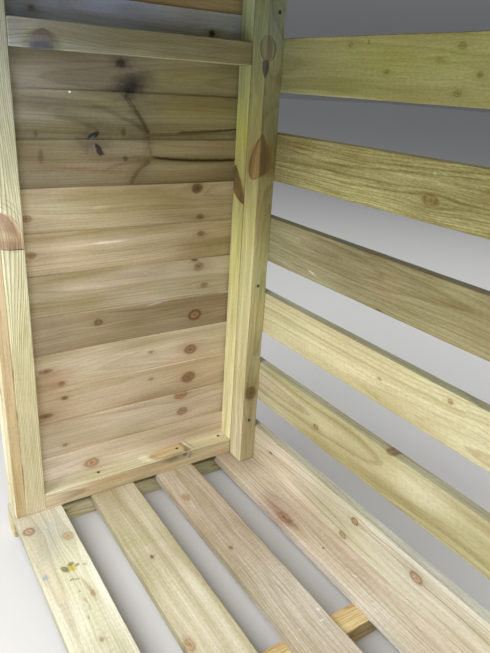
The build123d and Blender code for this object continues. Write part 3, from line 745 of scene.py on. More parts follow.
def front_post_marks(t, col, wob0):
    P = place(t)
    here = t.m("MULTIPLY", t.step(P[0], -0.5485, -0.5475), t.step(P[0], -0.50, -0.499, 1.0, 0.0))
    z = t.m("MULTIPLY_ADD", t.m("ADD", P[1], 0.26), 0.16, P[2])
    rows = [(0.6565, -0.3000, -0.2388), (0.6632, -0.3000, -0.2392), (0.6752, -0.3000, -0.2402), (0.6850, -0.3000, -0.2425),
            (0.6950, -0.3000, -0.2462), (0.7055, -0.3000, -0.2518), (0.7165, -0.3000, -0.2605), (0.7216, -0.3000, -0.2720),
            (0.7240, -0.3000, -0.2860)]
    rows = [(q, l + 0.27, r + 0.27) for q, l, r in rows]
    d = leaf(t, t.m("ADD", P[1], 0.27), z, rows, wob0, 0.003)
    col = profile(t, col, d, (
        (0.0, (0.54, 0.39, 0.375)), (0.30, (0.52, 0.36, 0.34)), (0.52, (0.53, 0.37, 0.35)), (0.70, (0.57, 0.40, 0.38)),
        (0.82, (0.49, 0.33, 0.31)), (0.90, (0.64, 0.48, 0.44)), (1.0, (0.74, 0.58, 0.56)), (1.10, (0.93, 0.80, 0.77)),
        (1.18, (0.76, 0.65, 0.60)), (1.30, (0.90, 0.80, 0.80)), (1.60, (0.95, 0.92, 0.95)), (2.0, (1.0, 1.0, 1.0))), here, 0.16, wob0, 40.0)
    q = (P[1], P[2])
    for c, size, turn, soft, colour, amount in (
        ((-0.2650, 0.6800), (0.0150, 0.0075), -0.25, 0.8, (208, 184, 144), 0.9),
        ((-0.2740, 0.6950), (0.0080, 0.0090), 0.0, 0.8, (198, 172, 138), 0.5),
    ):
        col = stain(t, col, blob(t, q, wob0, c, size, turn, soft, 0.5), colour, amount, here, (182, 152, 122))
    for p0, p1, w, bend, colour, amount in (
        ((-0.2840, 0.6590), (-0.2380, 0.6545), 0.0020, -0.0012, (128, 104, 84), 0.9),
        ((-0.2840, 0.6520), (-0.2420, 0.6490), 0.0022, 0.0010, (196, 184, 146), 0.5),
        ((-0.2700, 0.7420), (-0.2420, 0.7080), 0.0012, 0.004, (176, 168, 134), 0.7),
        ((-0.2640, 0.7480), (-0.2400, 0.7160), 0.0012, 0.004, (178, 170, 136), 0.7),
        ((-0.2800, 0.7390), (-0.2460, 0.7020), 0.0012, 0.004, (180, 170, 134), 0.6),
        ((-0.2760, 0.7330), (-0.2480, 0.7090), 0.0016, 0.003, (240, 232, 196), 0.7),
    ):
        col = stain(t, col, streak(t, q, wob0, p0, p1, w, bend), colour, amount, here, (212, 208, 168))
    return col


def rail_marks(t, col, wob0):
    P = place(t)
    left = t.step(P[0], -0.50, -0.49, 1.0, 0.0)
    # --- the upper rail's knot, cut off by its foot
    face = t.m("MULTIPLY", left, t.m("MULTIPLY", t.step(P[0], -0.5485, -0.5475), t.step(P[2], 0.6, 0.61)))
    d = leaf(t, t.m("ADD", P[1], 0.182), P[2], [
        (0.9900, -0.0205, 0.0190), (0.9960, -0.0205, 0.0195), (1.0040, -0.0215, 0.0205), (1.0097, -0.0205, 0.0200),
        (1.0160, -0.0165, 0.0175), (1.0205, -0.0110, 0.0140), (1.0245, -0.0040, 0.0085), (1.0270, 0.0010, 0.0035)], wob0, 0.004)
    col = profile(t, col, d, (
        (0.0, (0.54, 0.50, 0.56)), (0.60, (0.54, 0.50, 0.55)), (0.88, (0.55, 0.49, 0.51)), (1.02, (0.68, 0.62, 0.61)),
        (1.25, (0.68, 0.66, 0.64)), (1.60, (0.90, 0.90, 0.84)), (2.0, (1.0, 1.0, 1.0))), face, 0.08, wob0)
    q = (P[1], P[2])
    col = stain(t, col, blob(t, q, wob0, (-0.1835, 0.9980), (0.0185, 0.0095), 0.0, 0.35, 0.6), (72, 72, 82), 0.95, face, (100, 96, 93))
    col = stain(t, col, t.step(P[1], -0.225, -0.198, 1.0, 0.0), (120, 120, 108), 0.9, face, (134, 134, 116))
    col = stain(t, col, t.step(P[2], 0.9965, 0.9975, 1.0, 0.0), (138, 134, 112), 0.8, face, (110, 106, 88))
    # --- the bottom rail: a chipped knot over its inner top corner
    low = t.m("MULTIPLY", left, t.step(P[2], 0.105, 0.110, 1.0, 0.0))
    top = t.m("MULTIPLY", low, t.step(P[2], 0.0985, 0.0995))
    face = t.m("MULTIPLY", low, t.step(P[2], 0.0985, 0.0995, 1.0, 0.0))
    x = t.m("ADD", P[0], 0.570)
    d = leaf(t, x, P[1], [
        (0.0215, 0.0010, 0.0045), (0.0310, -0.0075, 0.0125), (0.0400, -0.0160, 0.0145), (0.0500, -0.0250, 0.0150),
        (0.0600, -0.0275, 0.0160), (0.0800, -0.0290, 0.0105), (0.1000, -0.0282, 0.0058), (0.1120, -0.0265, 0.0010),
        (0.1190, -0.0160, -0.0070)], wob0, 0.006)
    col = profile(t, col, d, (
        (0.0, (0.88, 0.74, 0.64)), (0.45, (0.88, 0.73, 0.62)), (0.60, (0.96, 0.84, 0.74)), (0.84, (1.06, 0.95, 0.86)),
        (0.95, (0.90, 0.75, 0.64)), (1.06, (0.93, 0.82, 0.72)), (1.30, (1.0, 0.98, 0.95)), (1.6, (1.0, 1.0, 1.0))), top, 0.06, wob0)
    q = (x, P[1])
    for c, size, turn, soft, colour, amount in (
        ((0.004, 0.031), (0.011, 0.008), 0.4, 0.8, (194, 158, 118), 0.5),
        ((-0.008, 0.118), (0.018, 0.0045), 0.25, 0.5, (160, 128, 96), 0.8),
        ((-0.010, 0.126), (0.020, 0.0042), 0.25, 0.5, (218, 206, 174), 0.8),
        ((0.0215, 0.080), (0.0055, 0.036), 0.12, 0.7, (170, 148, 116), 0.9),
        ((-0.006, 0.133), (0.018, 0.0040), 0.25, 0.5, (164, 150, 118), 0.7),
        ((0.012, 0.118), (0.009, 0.008), 0.3, 0.7, (140, 126, 98), 0.9),
        ((-0.002, 0.008), (0.014, 0.012), 0.0, 0.7, (234, 224, 192), 0.8),
        ((0.016, 0.020), (0.007, 0.010), 0.0, 0.6, (226, 210, 178), 0.8),
    ):
        col = stain(t, col, blob(t, q, wob0, c, size, turn, soft, 0.9), colour, amount, top, (206, 192, 152))
    q = (P[1], P[2])
    for c, size, turn, soft, colour, amount in (
        ((0.094, 0.094), (0.030, 0.0095), -0.10, 0.9, (152, 138, 109), 0.9),
        ((0.108, 0.0965), (0.0065, 0.0045), 0.0, 0.6, (118, 104, 80), 0.9),
        ((0.117, 0.091), (0.0040, 0.0075), -0.3, 0.5, (188, 174, 142), 0.8),
        ((0.122, 0.088), (0.0035, 0.0090), -0.3, 0.5, (128, 116, 88), 0.8),
        ((0.070, 0.092), (0.0180, 0.0060), 0.0, 0.6, (140, 124, 98), 0.8),
        ((0.060, 0.072), (0.0300, 0.0040), 0.0, 0.8, (184, 150, 110), 0.7),
        ((-0.060, 0.086), (0.0900, 0.0050), 0.0, 0.8, (166, 136, 98), 0.6),
        ((-0.140, 0.074), (0.0600, 0.0040), 0.0, 0.8, (176, 144, 106), 0.6),
        ((0.170, 0.0745), (0.0600, 0.0030), 0.02, 0.8, (178, 142, 100), 0.6),
        ((0.215, 0.074), (0.0260, 0.0040), 0.05, 0.7, (180, 140, 98), 0.7),
    ):
        col = stain(t, col, blob(t, q, wob0, c, size, turn, soft, 0.9), colour, amount, face, (180, 160, 122))
    return col


def back_marks(t, col, wob0):
    P = place(t)
    q = (P[0], P[2])
    front = t.step(P[1], 0.290, 0.292, 1.0, 0.0)
    for c, size, turn, soft, colour, amount in (
        ((-0.071, 0.847), (0.006, 0.003), 0.0, 0.4, (150, 160, 112), 0.8),
        ((-0.052, 0.849), (0.005, 0.003), 0.0, 0.4, (148, 158, 112), 0.8),
        ((-0.340, 0.608), (0.013, 0.0022), -0.15, 0.4, (196, 190, 160), 0.9),
        ((-0.256, 1.038), (0.0022, 0.0040), 0.0, 0.5, (98, 118, 66), 0.9),
        ((-0.290, 0.650), (0.060, 0.020), 0.0, 0.9, (136, 128, 94), 0.6),
        ((-0.150, 0.640), (0.050, 0.024), 0.0, 0.9, (158, 144, 104), 0.6),
        ((-0.300, 0.975), (0.090, 0.020), 0.0, 0.9, (120, 116, 74), 0.5),
        ((-0.180, 1.010), (0.110, 0.016), 0.0, 0.9, (140, 134, 82), 0.5),
    ):
        col = stain(t, col, blob(t, q, wob0, c, size, turn, soft), colour, amount, front, (146, 138, 100))
    for p0, p1, w, bend, amount in (
        ((-0.424, 0.117), (-0.130, 0.094), 0.0022, 0.004, 0.50), ((-0.300, 0.090), (-0.060, 0.078), 0.0022, -0.002, 0.45),
        ((-0.105, 0.128), (0.030, 0.124), 0.0020, 0.003, 0.55), ((0.052, 0.120), (0.330, 0.108), 0.0026, 0.006, 0.60),
        ((-0.110, 0.133), (0.060, 0.141), 0.0018, 0.003, 0.45), ((-0.500, 0.140), (-0.200, 0.146), 0.0020, 0.001, 0.35),
        ((-0.480, 0.100), (-0.180, 0.082), 0.0020, -0.001, 0.40), ((0.060, 0.082), (0.300, 0.076), 0.0020, 0.0, 0.30),
    ):
        col = stain(t, col, streak(t, q, wob0, p0, p1, w, bend), (160, 134, 102), amount, front, (206, 194, 162))
    return col


# ---------------------------------------------------------------- materials
M_FRAME = wood("frame_wood", early=(216, 208, 172), late=(160, 144, 102), green=(196, 198, 156), saw=0.15, fuzz=0.07)
FRAME = dict(early=(216, 208, 172), late=(156, 140, 98), green=(206, 202, 162), saw=0.15, fuzz=0.07)
M_FRONT_POST = wood("front_post_wood", extras=front_post_marks, least=0.62, **FRAME)
M_REAR_POST = wood("rear_post_wood", extras=rear_post_marks, **FRAME)
M_BACK_POST = wood("back_post_wood", extras=back_post_marks, **FRAME)
M_RAIL = wood("rail_wood", extras=rail_marks, **FRAME)
M_FLOOR = wood("floor_wood", early=(222, 210, 182), late=(180, 154, 122), green=(216, 208, 172), saw=1.1, extras=floor_marks, fuzz=0.12)
M_BACK = wood("back_slat_wood", early=(208, 196, 156), late=(160, 134, 94), green=(200, 192, 144), saw=0.6, extras=back_marks, fuzz=0.11)
M_BACK_GREEN = wood("green_slat_wood", early=(208, 196, 156), late=(168, 146, 100), green=(200, 192, 144), saw=0.6, extras=back_marks,
                    fuzz=0.12, olive=0.75)
M_TORN = wood("torn_slat_wood", early=(208, 196, 156), late=(150, 124, 84), green=(200, 192, 144), saw=1.0, extras=back_marks, fuzz=0.21,
              olive=0.4)
M_CLAD = wood("cladding_wood", early=(212, 194, 164), late=(164, 136, 106), green=(204, 188, 150), saw=0.4, extras=clad_marks, fuzz=0.07)
M_TRIM = wood("trim_wood", early=(220, 210, 180), late=(182, 158, 118), green=(212, 204, 168), saw=0.4, fuzz=0.09)
M_ROOF = wood("roof_wood", early=(206, 194, 158), late=(158, 134, 98), green=(192, 184, 140), saw=0.6, fuzz=0.11)
M_BEARER = wood("bearer_wood", early=(208, 198, 160), late=(162, 136, 96), green=(192, 188, 148), saw=0.3, fuzz=0.09)
M_NAIL = metal("galvanised_nail", (150, 150, 146))
M_SCREW = metal("screw_steel", (27, 25, 23), 0.75, 0.1, (54, 44, 36))

X, Y, Z = Vector((1, 0, 0)), Vector((0, 1, 0)), Vector((0, 0, 1))


def local(o, U, V, p):
    """A point of the row's frame in a board's own frame."""
    o, U, V = Vector(o), Vector(U), Vector(V)
    q = Vector(p) - o
    return (q.dot(U), q.dot(V), q.dot(U.cross(V)))


def at(x, y, z):
    """Millimetres to metres."""
    return Vector((x / 1000.0, y / 1000.0, z / 1000.0))


def plank(node, U, V, material, slot, seed, knots=(), more=(), **kw):
    """A straight board that fills a CAD box."""
    lo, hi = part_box(node)
    U, V = Vector(U), Vector(V)
    W = U.cross(V)
    size = hi - lo
    o = Vector([lo[i] if (U + V + W)[i] > 0 else hi[i] for i in range(3)])
    L, A, B = (abs(size.dot(a)) for a in (U, V, W))
    ks = [knot(local(o, U, V, k[0]), *k[1:]) for k in knots]
    kw.setdefault("tint", TINT.get(node, (0.86, 0.85, 0.82)))
    return Stock().board(o, U, V, L, A, B, knots=ks + list(more), seed=seed, **kw).finish("v_" + node, material, slot, [node])


# The colour of each piece of timber against its kind's base colour, fitted to each board's brightness:
# partly treated softwood varying from board to board, partly painted light and shade.
TINT = {
    "floor_slat_1": (0.66, 0.71, 0.77), "floor_slat_2": (0.66, 0.66, 0.69), "floor_slat_3": (0.61, 0.60, 0.64),
    "floor_slat_4": (0.74, 0.71, 0.79),
    "back_slat_1": (1.02, 1.09, 1.42), "back_slat_2": (0.81, 0.85, 0.86), "back_slat_3": (0.96, 1.01, 1.05),
    "back_slat_4": (0.54, 0.55, 0.51), "back_slat_5": (0.64, 0.68, 0.52), "back_slat_6": (0.82, 0.93, 0.76),
    "left_front_post": (0.87, 0.88, 1.01), "left_rear_post": (1.04, 1.10, 0.91), "back_post_left": (0.78, 0.79, 0.72),
    "left_bottom_rail": (0.87, 0.88, 0.99), "left_upper_rail": (0.53, 0.57, 0.69), "left_front_trim": (0.75, 0.77, 0.81),
    "bearer_left": (0.86, 0.86, 0.82), "bearer_middle": (0.92, 0.82, 0.68), "bearer_right": (0.86, 0.86, 0.82),
    "clad_0": (1.06, 1.10, 1.26), "clad_1": (0.92, 0.93, 1.01), "clad_2": (0.83, 0.82, 0.80), "clad_3": (0.95, 0.98, 1.05),
    "clad_4": (0.59, 0.57, 0.55), "clad_5": (0.84, 0.90, 0.93), "clad_6": (0.89, 0.89, 0.87), "clad_7": (0.85, 0.87, 0.82),
    "clad_8": (0.49, 0.52, 0.49), "clad_9": (0.47, 0.53, 0.53), "clad_10": (0.58, 0.65, 0.73), "clad_11": (0.71, 0.99, 2.12),
}

# ---------------------------------------------------------------- floor slats
# knots given in row millimetres: (x, y, radius, elongation, kind, outline)
FLOOR_KNOTS = {
    1: [(-494, -288, 11.0, 1.05, 0.10, 0.8), (-443, -221, 10.5, 1.15, 0.20, 0.15), (-272, -228, 4.2, 1.5, 0.15, 0.2),
        (-169, -250, 4.0, 1.2, 0.35, 0.3)],
    2: [(-303, -94, 3.6, 1.5, 0.65, 0.4), (-84, -125, 9.0, 1.7, 0.22, 0.15)],
    3: [(-437, 54, 8.0, 1.5, 0.12, 0.3), (-246, 59, 3.6, 1.3, 0.5, 0.4)],
    4: [(-268, 214, 12.0, 1.7, 0.30, 0.15)],
}
# how bright a slat is from its left end on: (x, tone), row metres; partly the wood's own tone, partly painted light and
# shade
FLOOR_TONE_AND_SHADE = {
    1: [(-0.545, (0.94, 0.91, 0.94)), (-0.490, (0.92, 0.92, 0.94)), (-0.420, 1.04), (-0.300, 1.10), (-0.150, 1.0)],
    2: [(-0.545, (0.86, 0.80, 0.83)), (-0.420, (0.98, 0.96, 1.06)), (-0.300, (0.82, 0.82, 0.79)), (-0.180, (0.92, 0.93, 0.92))],
    3: [(-0.540, (0.94, 0.90, 0.88)), (-0.420, (0.88, 0.84, 0.81)), (-0.300, (0.74, 0.70, 0.64)), (-0.180, (0.82, 0.82, 0.79)),
        (-0.080, (1.0, 1.04, 1.10)), (0.060, (1.08, 1.10, 1.14))],
    4: [(-0.540, (0.64, 0.61, 0.55)), (-0.420, (0.95, 0.99, 0.95)), (-0.300, (0.85, 0.83, 0.80)), (-0.180, (0.96, 0.95, 0.93)),
        (-0.060, (0.98, 1.0, 0.99)), (0.030, (1.14, 1.25, 1.30)), (0.200, (1.10, 1.16, 1.20))],
}
FLOOR = {
    1: dict(pith=(0.02, -0.05, 0.0044), grain=0.6, green=0.5, fibre=0.7),
    2: dict(pith=(0.09, -0.03, 0.0056), grain=0.35, green=0.75, fibre=0.6),
    3: dict(pith=(0.05, -0.022, 0.0040), grain=0.8, green=0.15, fibre=1.2),
    4: dict(pith=(0.055, -0.028, 0.0044), grain=1.0, green=0.2, fibre=0.8),
}


def slat_step(P):
    """Slat 2: the far end is greener up to a line across the board."""
    x = P.x + 0.344 - (P.y + 0.116) * 0.128
    f = min(1.0, max(0.0, 0.5 - x / 0.012))
    return (1.0 - 0.12 * f, 1.0 - 0.09 * f, 1.0 - 0.20 * f)


def along_table(table, q):
    """Linear between (position, value) pairs; a value is a number or a colour."""
    if q <= table[0][0]:
        k = table[0][1]
    else:
        k = table[-1][1]
        for (q0, k0), (q1, k1) in zip(table, table[1:]):
            if q <= q1:
                f = (q - q0) / (q1 - q0)
                if isinstance(k0, tuple) or isinstance(k1, tuple):
                    k0 = k0 if isinstance(k0, tuple) else (k0,) * 3
                    k1 = k1 if isinstance(k1, tuple) else (k1,) * 3
                    k = tuple(a + (b - a) * f for a, b in zip(k0, k1))
                else:
                    k = k0 + (k1 - k0) * f
                break
    return k if isinstance(k, tuple) else (k, k, k)


def slat_paint(i):
    if i == 2:
        return lambda P: tuple(a * b for a, b in zip(slat_step(P), along_table(FLOOR_TONE_AND_SHADE[2], P.x)))
    return lambda P: along_table(FLOOR_TONE_AND_SHADE[i], P.x)


for i in range(1, 5):
    node = f"floor_slat_{i}"
    lo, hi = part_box(node)
    ks = [(at(x, y, 61), r / 1000, e, kd, (0, 0, 1), edge) for x, y, r, e, kd, edge in FLOOR_KNOTS[i]]
    L, A = hi.x - lo.x, hi.y - lo.y
    more = [k for k in random_knots(L, A, 0.021, 0.24, seed=i) if k["p"][0] > 0.66]
    plank(node, X, Y, M_FLOOR, "floor_wood", seed=i * 1.37, knots=ks, more=more,
          drift=(0.012 * (-1) ** i, 0.01), bow=(0.0, 0.0004), paint=slat_paint(i), **FLOOR[i])

# ---------------------------------------------------------------- bearers


def bearer_paint(P):
    """The middle bearer's left arris is brown; the outer bearers' front ends are painted lighter, as painted light on
    their end faces.
    """
    if abs(P.x) < 0.03:
        f = min(1.0, max(0.0, (-0.0105 - P.x) / 0.006))
        return (1.0 - 0.26 * f, 1.0 - 0.36 * f, 1.0 - 0.44 * f)
    # painted light: the front end face and its first few millimetres lighter
    f = min(1.0, max(0.0, (P.y + 0.297) / -0.004 + 1.0))
    return (1.0 + 0.25 * f, 1.0 + 0.14 * f, 1.0 + 0.1 * f)


for i, node in enumerate(("bearer_left", "bearer_middle", "bearer_right")):
    plank(node, Y, Z, M_BEARER, "bearer_wood", seed=9.1 + i, more=random_knots(0.61, 0.04, 0.047, 0.3, seed=40 + i, rmax=0.008),
          pith=(0.02, -0.012, 0.0042), paint=bearer_paint,
          green=(0.6, 0.1, 0.6)[i])

# ---------------------------------------------------------------- back slats
BACK_KNOTS = {
    1: [(-122, 130, 8.0, 1.2, 0.28, 0.9), (-150, 73, 7.0, 1.5, 0.30, 0.5), (47, 124, 10.0, 1.45, 0.22, 0.7),
        (-425, 117, 2.6, 2.4, 0.8, 0.1)],
    2: [(-273, 276, 5.5, 1.4, 0.20, 0.6), (-62, 340, 8.5, 1.5, 0.45, 0.6)],
    3: [(40, 496, 4.6, 1.2, 0.35, 0.35), (-118, 466, 3.4, 1.2, 0.30, 0.3)],
    4: [(-145, 590, 5.0, 1.3, 0.25, 0.6)],
    5: [(-72, 806, 9.0, 1.8, 0.10, 0.5), (-205, 760, 6.0, 1.5, 0.30, 0.3)],
    6: [(-300, 1034, 4.0, 1.3, 0.30, 0.2), (-205, 992, 3.6, 1.3, 0.30, 0.2), (-97, 1011, 4.2, 1.4, 0.22, 0.1),
        (-62, 1030, 4.8, 1.5, 0.32, 0.2), (-23, 992, 4.2, 1.3, 0.34, 0.2), (-55, 966, 5.6, 1.3, 0.26, 0.2)],
}
BACK = {
    1: dict(grain=0.6, pith=(0.03, -0.03, 0.0055), green=0.1, fibre=0.7),
    2: dict(grain=0.8, pith=(0.06, -0.03, 0.0070), green=0.35, fibre=0.55, blotch=1.4),
    3: dict(grain=1.0, pith=(0.02, -0.035, 0.0070), green=0.1, fibre=0.55),
    4: dict(grain=0.6, pith=(0.08, -0.04, 0.0045), green=0.2, fibre=1.2, saw=1.0),
    5: dict(grain=1.1, pith=(0.05, -0.02, 0.0036), green=0.2, fibre=1.9, blotch=1.3),
    6: dict(grain=0.5, pith=(0.05, -0.05, 0.0060), green=0.5, fibre=0.6),
}
# how bright a back slat is from its left end on: (x, tone or colour), row metres; partly the wood's own tone, partly
# painted light and shade
BACK_TONE_AND_SHADE = {
    1: [(-0.500, (0.85, 0.82, 0.77)), (-0.360, (1.02, 0.97, 0.94)), (-0.220, (0.88, 0.86, 0.82)), (-0.080, (1.04, 1.07, 1.07)),
        (0.020, (0.98, 1.0, 1.05)), (0.200, 1.0)],
    2: [(-0.480, (1.01, 1.01, 1.10)), (-0.360, (1.10, 1.12, 1.20)), (-0.220, (0.97, 0.95, 0.91)), (-0.080, (0.86, 0.83, 0.75)), (0.030, (1.05, 1.05, 1.08)), (0.3, 1.05)],
    3: [(-0.480, 0.98), (-0.360, (1.03, 1.03, 1.01)), (-0.200, (1.01, 0.99, 0.91)), (0.030, (1.03, 1.03, 1.0)), (0.300, 0.97)],
    4: [(-0.480, (0.90, 0.94, 0.98)), (-0.360, (1.12, 1.16, 1.24)), (-0.220, (0.89, 0.91, 0.91)), (-0.080, (0.95, 0.94, 0.92)), (0.030, (1.04, 1.02, 0.98)), (0.300, 1.0)],
    5: [(-0.480, (0.76, 0.74, 0.69)), (-0.360, (1.11, 1.11, 1.12)), (-0.220, (1.19, 1.18, 1.12)), (-0.080, (1.06, 1.05, 0.97)), (0.050, (1.16, 1.17, 1.13)), (0.300, 1.1), (0.600, (1.08, 1.03, 1.20))],
    6: [(-0.480, (0.98, 1.0, 1.20)), (-0.360, (1.32, 1.29, 1.45)), (-0.220, (1.32, 1.30, 1.22)), (0.100, (1.24, 1.22, 1.12)),
        (0.300, 1.1), (0.600, (1.02, 0.94, 1.10))],
}
# the back slats' top edges (face 1) darker: partly the wood's tone, partly painted shade on the upward faces
TOP_EDGE = {1: (0.61, 0.63, 0.61), 2: (0.68, 0.71, 0.80), 3: (0.48, 0.51, 0.55), 4: (0.42, 0.43, 0.45)}
for i in range(1, 7):
    node = f"back_slat_{i}"
    ks = [(at(x, 282, z), r / 1000, e, kd, (0, 0, 1), edge) for x, z, r, e, kd, edge in BACK_KNOTS.get(i, [])]
    more = [k for k in random_knots(1.22, 0.1, 0.022, 0.26, seed=60 + i) if k["p"][0] > 0.72]
    # seen from the front the board lies the other way up: W = X x Z = -Y
    plank(node, X, Z, (M_BACK, M_BACK, M_BACK, M_BACK, M_TORN, M_BACK_GREEN)[i - 1], "back_slat_wood", seed=20 + i * 1.91, knots=ks,
          paint=lambda P, i=i: along_table(BACK_TONE_AND_SHADE[i], P.x), more=more, bow=(0.0, 0.0006 * (-1) ** i),
          faces={1: TOP_EDGE.get(i, (0.55, 0.56, 0.58))}, **BACK[i])

# ---------------------------------------------------------------- posts and rails


def post(node, seed, knots=(), material=M_FRAME, slot="frame_wood", more=(), **kw):
    """Upright: the grain along Z, the width along X, the top cut to the roof's slope."""
    lo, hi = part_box(node)
    o = lo
    L = hi.z - lo.z

    def cut(u, v, w):
        top = roof_under(o.y + w) - o.z
        return (u * top / L, v, w)

    kw.setdefault("tint", TINT.get(node, (0.86, 0.85, 0.82)))
    ks = [knot(local(o, Z, X, k[0]), *k[1:]) for k in knots]
    return Stock().board(o, Z, X, L, hi.x - lo.x, hi.y - lo.y, shape=cut, knots=ks + list(more), seed=seed,
                         **kw).finish("v_" + node, material, slot, [node])




def height_shade_tint(table):
    """A tint that follows height, painted light and shade mixed with the wood's tone: (z, (r, g, b)) pairs, z in row
    metres.
    """
    return lambda P: along_table(table, P.z)


# painted light and shade on the back post's two inner faces, by height: (z, (r, g, b))
CORNER_FRONT = [(0.12, (1.22, 1.15, 1.36)), (0.30, (1.10, 1.04, 1.03)), (0.42, (1.03, 1.03, 0.95)), (0.56, (1.07, 1.08, 0.95)),
                (0.68, (0.94, 0.93, 0.67)), (0.76, (0.78, 0.75, 0.60)), (0.86, (0.68, 0.66, 0.50)), (0.90, (0.75, 0.74, 0.50)),
                (0.98, (0.75, 0.81, 0.70)), (1.06, (0.74, 0.89, 0.87))]
CORNER_SIDE = [(0.12, (1.09, 0.97, 1.03)), (0.30, (0.90, 0.84, 0.78)), (0.38, (1.09, 1.05, 0.95)), (0.46, (1.20, 1.16, 1.07)),
               (0.56, (1.24, 1.28, 1.12)), (0.68, (0.98, 0.93, 0.79)), (0.74, (0.80, 0.76, 0.60)), (0.88, (0.57, 0.60, 0.49)),
               (0.94, (0.59, 0.62, 0.54)), (1.00, (0.76, 0.82, 0.82)), (1.06, (0.58, 0.69, 0.83))]


def corner_paint(P):
    """The back post's two inner faces each get their own painted light and shade by height, mixed with the wood's tone.
    """
    return along_table(CORNER_SIDE if P.x > -0.4973 else CORNER_FRONT, P.z)


DX, DY = (0, 1, 0), (0, 0, 1)          # knot directions in a post's frame: along X, along Y
# the front and rear left posts get painted light and shade by height, mixed with the wood's tone; the front post is
# darker towards its top
post("left_front_post", 31.0, material=M_FRONT_POST, knots=[(at(-546, -276, 689), 0.034, 1.02, -1, DX)],
     pith=(-0.012, 0.075, 0.0021), drift=(0.004, 0.012), grain=1.6, green=0.75, blotch=0.6, paint=height_shade_tint([(0.15, (1.17, 1.12, 1.04)), (0.28, (1.07, 1.04, 0.90)), (0.42, (1.14, 1.13, 0.97)), (0.56, (1.24, 1.28, 1.18)), (0.74, (1.24, 1.29, 1.30)),
                 (0.85, (0.86, 0.93, 0.94)), (1.0, (0.60, 0.66, 0.76)), (1.2, (0.56, 0.61, 0.68))]))
post("left_rear_post", 33.7, material=M_REAR_POST, knots=[(at(-574, 240, 751), 0.0160, 1.7, -1, DY)], pith=(0.02, -0.02, 0.0042),
     drift=(0.004, 0.004), grain=0.6, green=0.8, paint=height_shade_tint([(0.2, (1.11, 1.03, 1.14)), (0.3, (1.14, 1.06, 1.15)), (0.45, (1.0, 0.91, 0.84)), (0.6, (0.94, 0.92, 0.70)), (0.70, (0.80, 0.76, 0.63)),
                 (0.78, (0.79, 0.76, 0.63)), (0.86, (1.01, 1.03, 0.61)), (0.97, (1.13, 1.28, 1.26)), (1.07, (1.17, 1.40, 1.82))]))
post("back_post_left", 35.2, material=M_BACK_POST, knots=[
    (at(-497, 240.5, 1027), 0.0170, 1.5, -1, (0, -0.7, 0.7)), (at(-500, 240.5, 812), 0.0240, 1.75, -1, (0.2, -0.64, 0.72)),
    (at(-496.5, 260, 256), 0.0140, 1.2, 0.55, (0, 0.94, -0.34), 0.5)], pith=(0.09, 0.03, 0.0045), drift=(0.004, 0.006), grain=0.7, green=0.6,
    paint=corner_paint)
post("right_front_post", 37.9, material=M_FRONT_POST, pith=(0.02, -0.03, 0.0046), more=random_knots(1.2, 0.047, 0.042, 0.4, seed=81, rmax=0.009))
post("right_rear_post", 39.3, more=random_knots(1.1, 0.047, 0.042, 0.4, seed=82, rmax=0.009))
post("back_post_right", 41.8, more=random_knots(1.1, 0.05, 0.042, 0.4, seed=83, rmax=0.009))
# the trims' front faces are painted lighter, as painted light on the faces that look out of the store; their inner side
# faces are browner
post("left_front_trim", 43.1, material=M_TRIM, slot="trim_wood", more=random_knots(1.2, 0.068, 0.022, 0.45, seed=84, rmax=0.008),
     pith=(0.03, -0.03, 0.0040), faces={0: (1.30, 1.30, 1.26), 1: (1.02, 0.86, 0.68)})
post("right_front_trim", 45.6, material=M_TRIM, slot="trim_wood", more=random_knots(1.2, 0.068, 0.022, 0.45, seed=85, rmax=0.008),
     faces={0: (1.10, 1.09, 1.06), 3: (1.04, 0.92, 0.76)})

# tints along the left rails, front to rear: partly the wood's tone, partly painted light and shade
LOW_RAIL = [(-0.200, (1.05, 1.06, 1.10)), (-0.090, (0.90, 0.87, 0.77)), (0.020, (0.96, 0.95, 0.88)), (0.080, 1.0), (0.150, (1.11, 1.15, 1.10))]
LOW_RAIL_TOP = [(-0.200, 1.02), (-0.090, (0.92, 0.89, 0.81)), (0.020, (0.94, 0.92, 0.84)), (0.150, (0.92, 0.86, 0.74))]
HIGH_RAIL = [(-0.225, (0.88, 0.90, 1.0)), (-0.150, (0.96, 0.96, 1.0)), (-0.090, 1.0), (0.020, (1.20, 1.14, 1.02)), (0.200, (1.30, 1.23, 1.05))]
for side in ("left", "right"):
    left = side == "left"
    s0 = 50.0 if left else 57.0
    plank(f"{side}_bottom_rail", Y, Z, M_RAIL, "frame_wood", seed=s0,
          paint=(lambda P: along_table(LOW_RAIL_TOP if P.z > 0.1 else LOW_RAIL, P.y)) if left else None,
          more=[] if left else random_knots(0.476, 0.04, 0.047, 0.3, seed=90, rmax=0.008),
          faces={2: (0.98, 0.86, 0.78)} if left else None, pith=(0.018, 0.085, 0.0034), drift=(0.01, 0.01), green=0.4)
    plank(f"{side}_upper_rail", Y, Z, M_RAIL, "frame_wood", seed=s0 + 1.3,
          knots=[(at(-546, -182, 1001), 0.0170, 1.2, -1, (0, 0.1, 1))] if left else (),
          more=[] if left else random_knots(0.476, 0.044, 0.047, 0.3, seed=91, rmax=0.008),
          paint=(lambda P: along_table(HIGH_RAIL, P.y)) if left else None,
          pith=(0.13, 0.07, 0.0023), drift=(0.006, 0.004), grain=1.3)


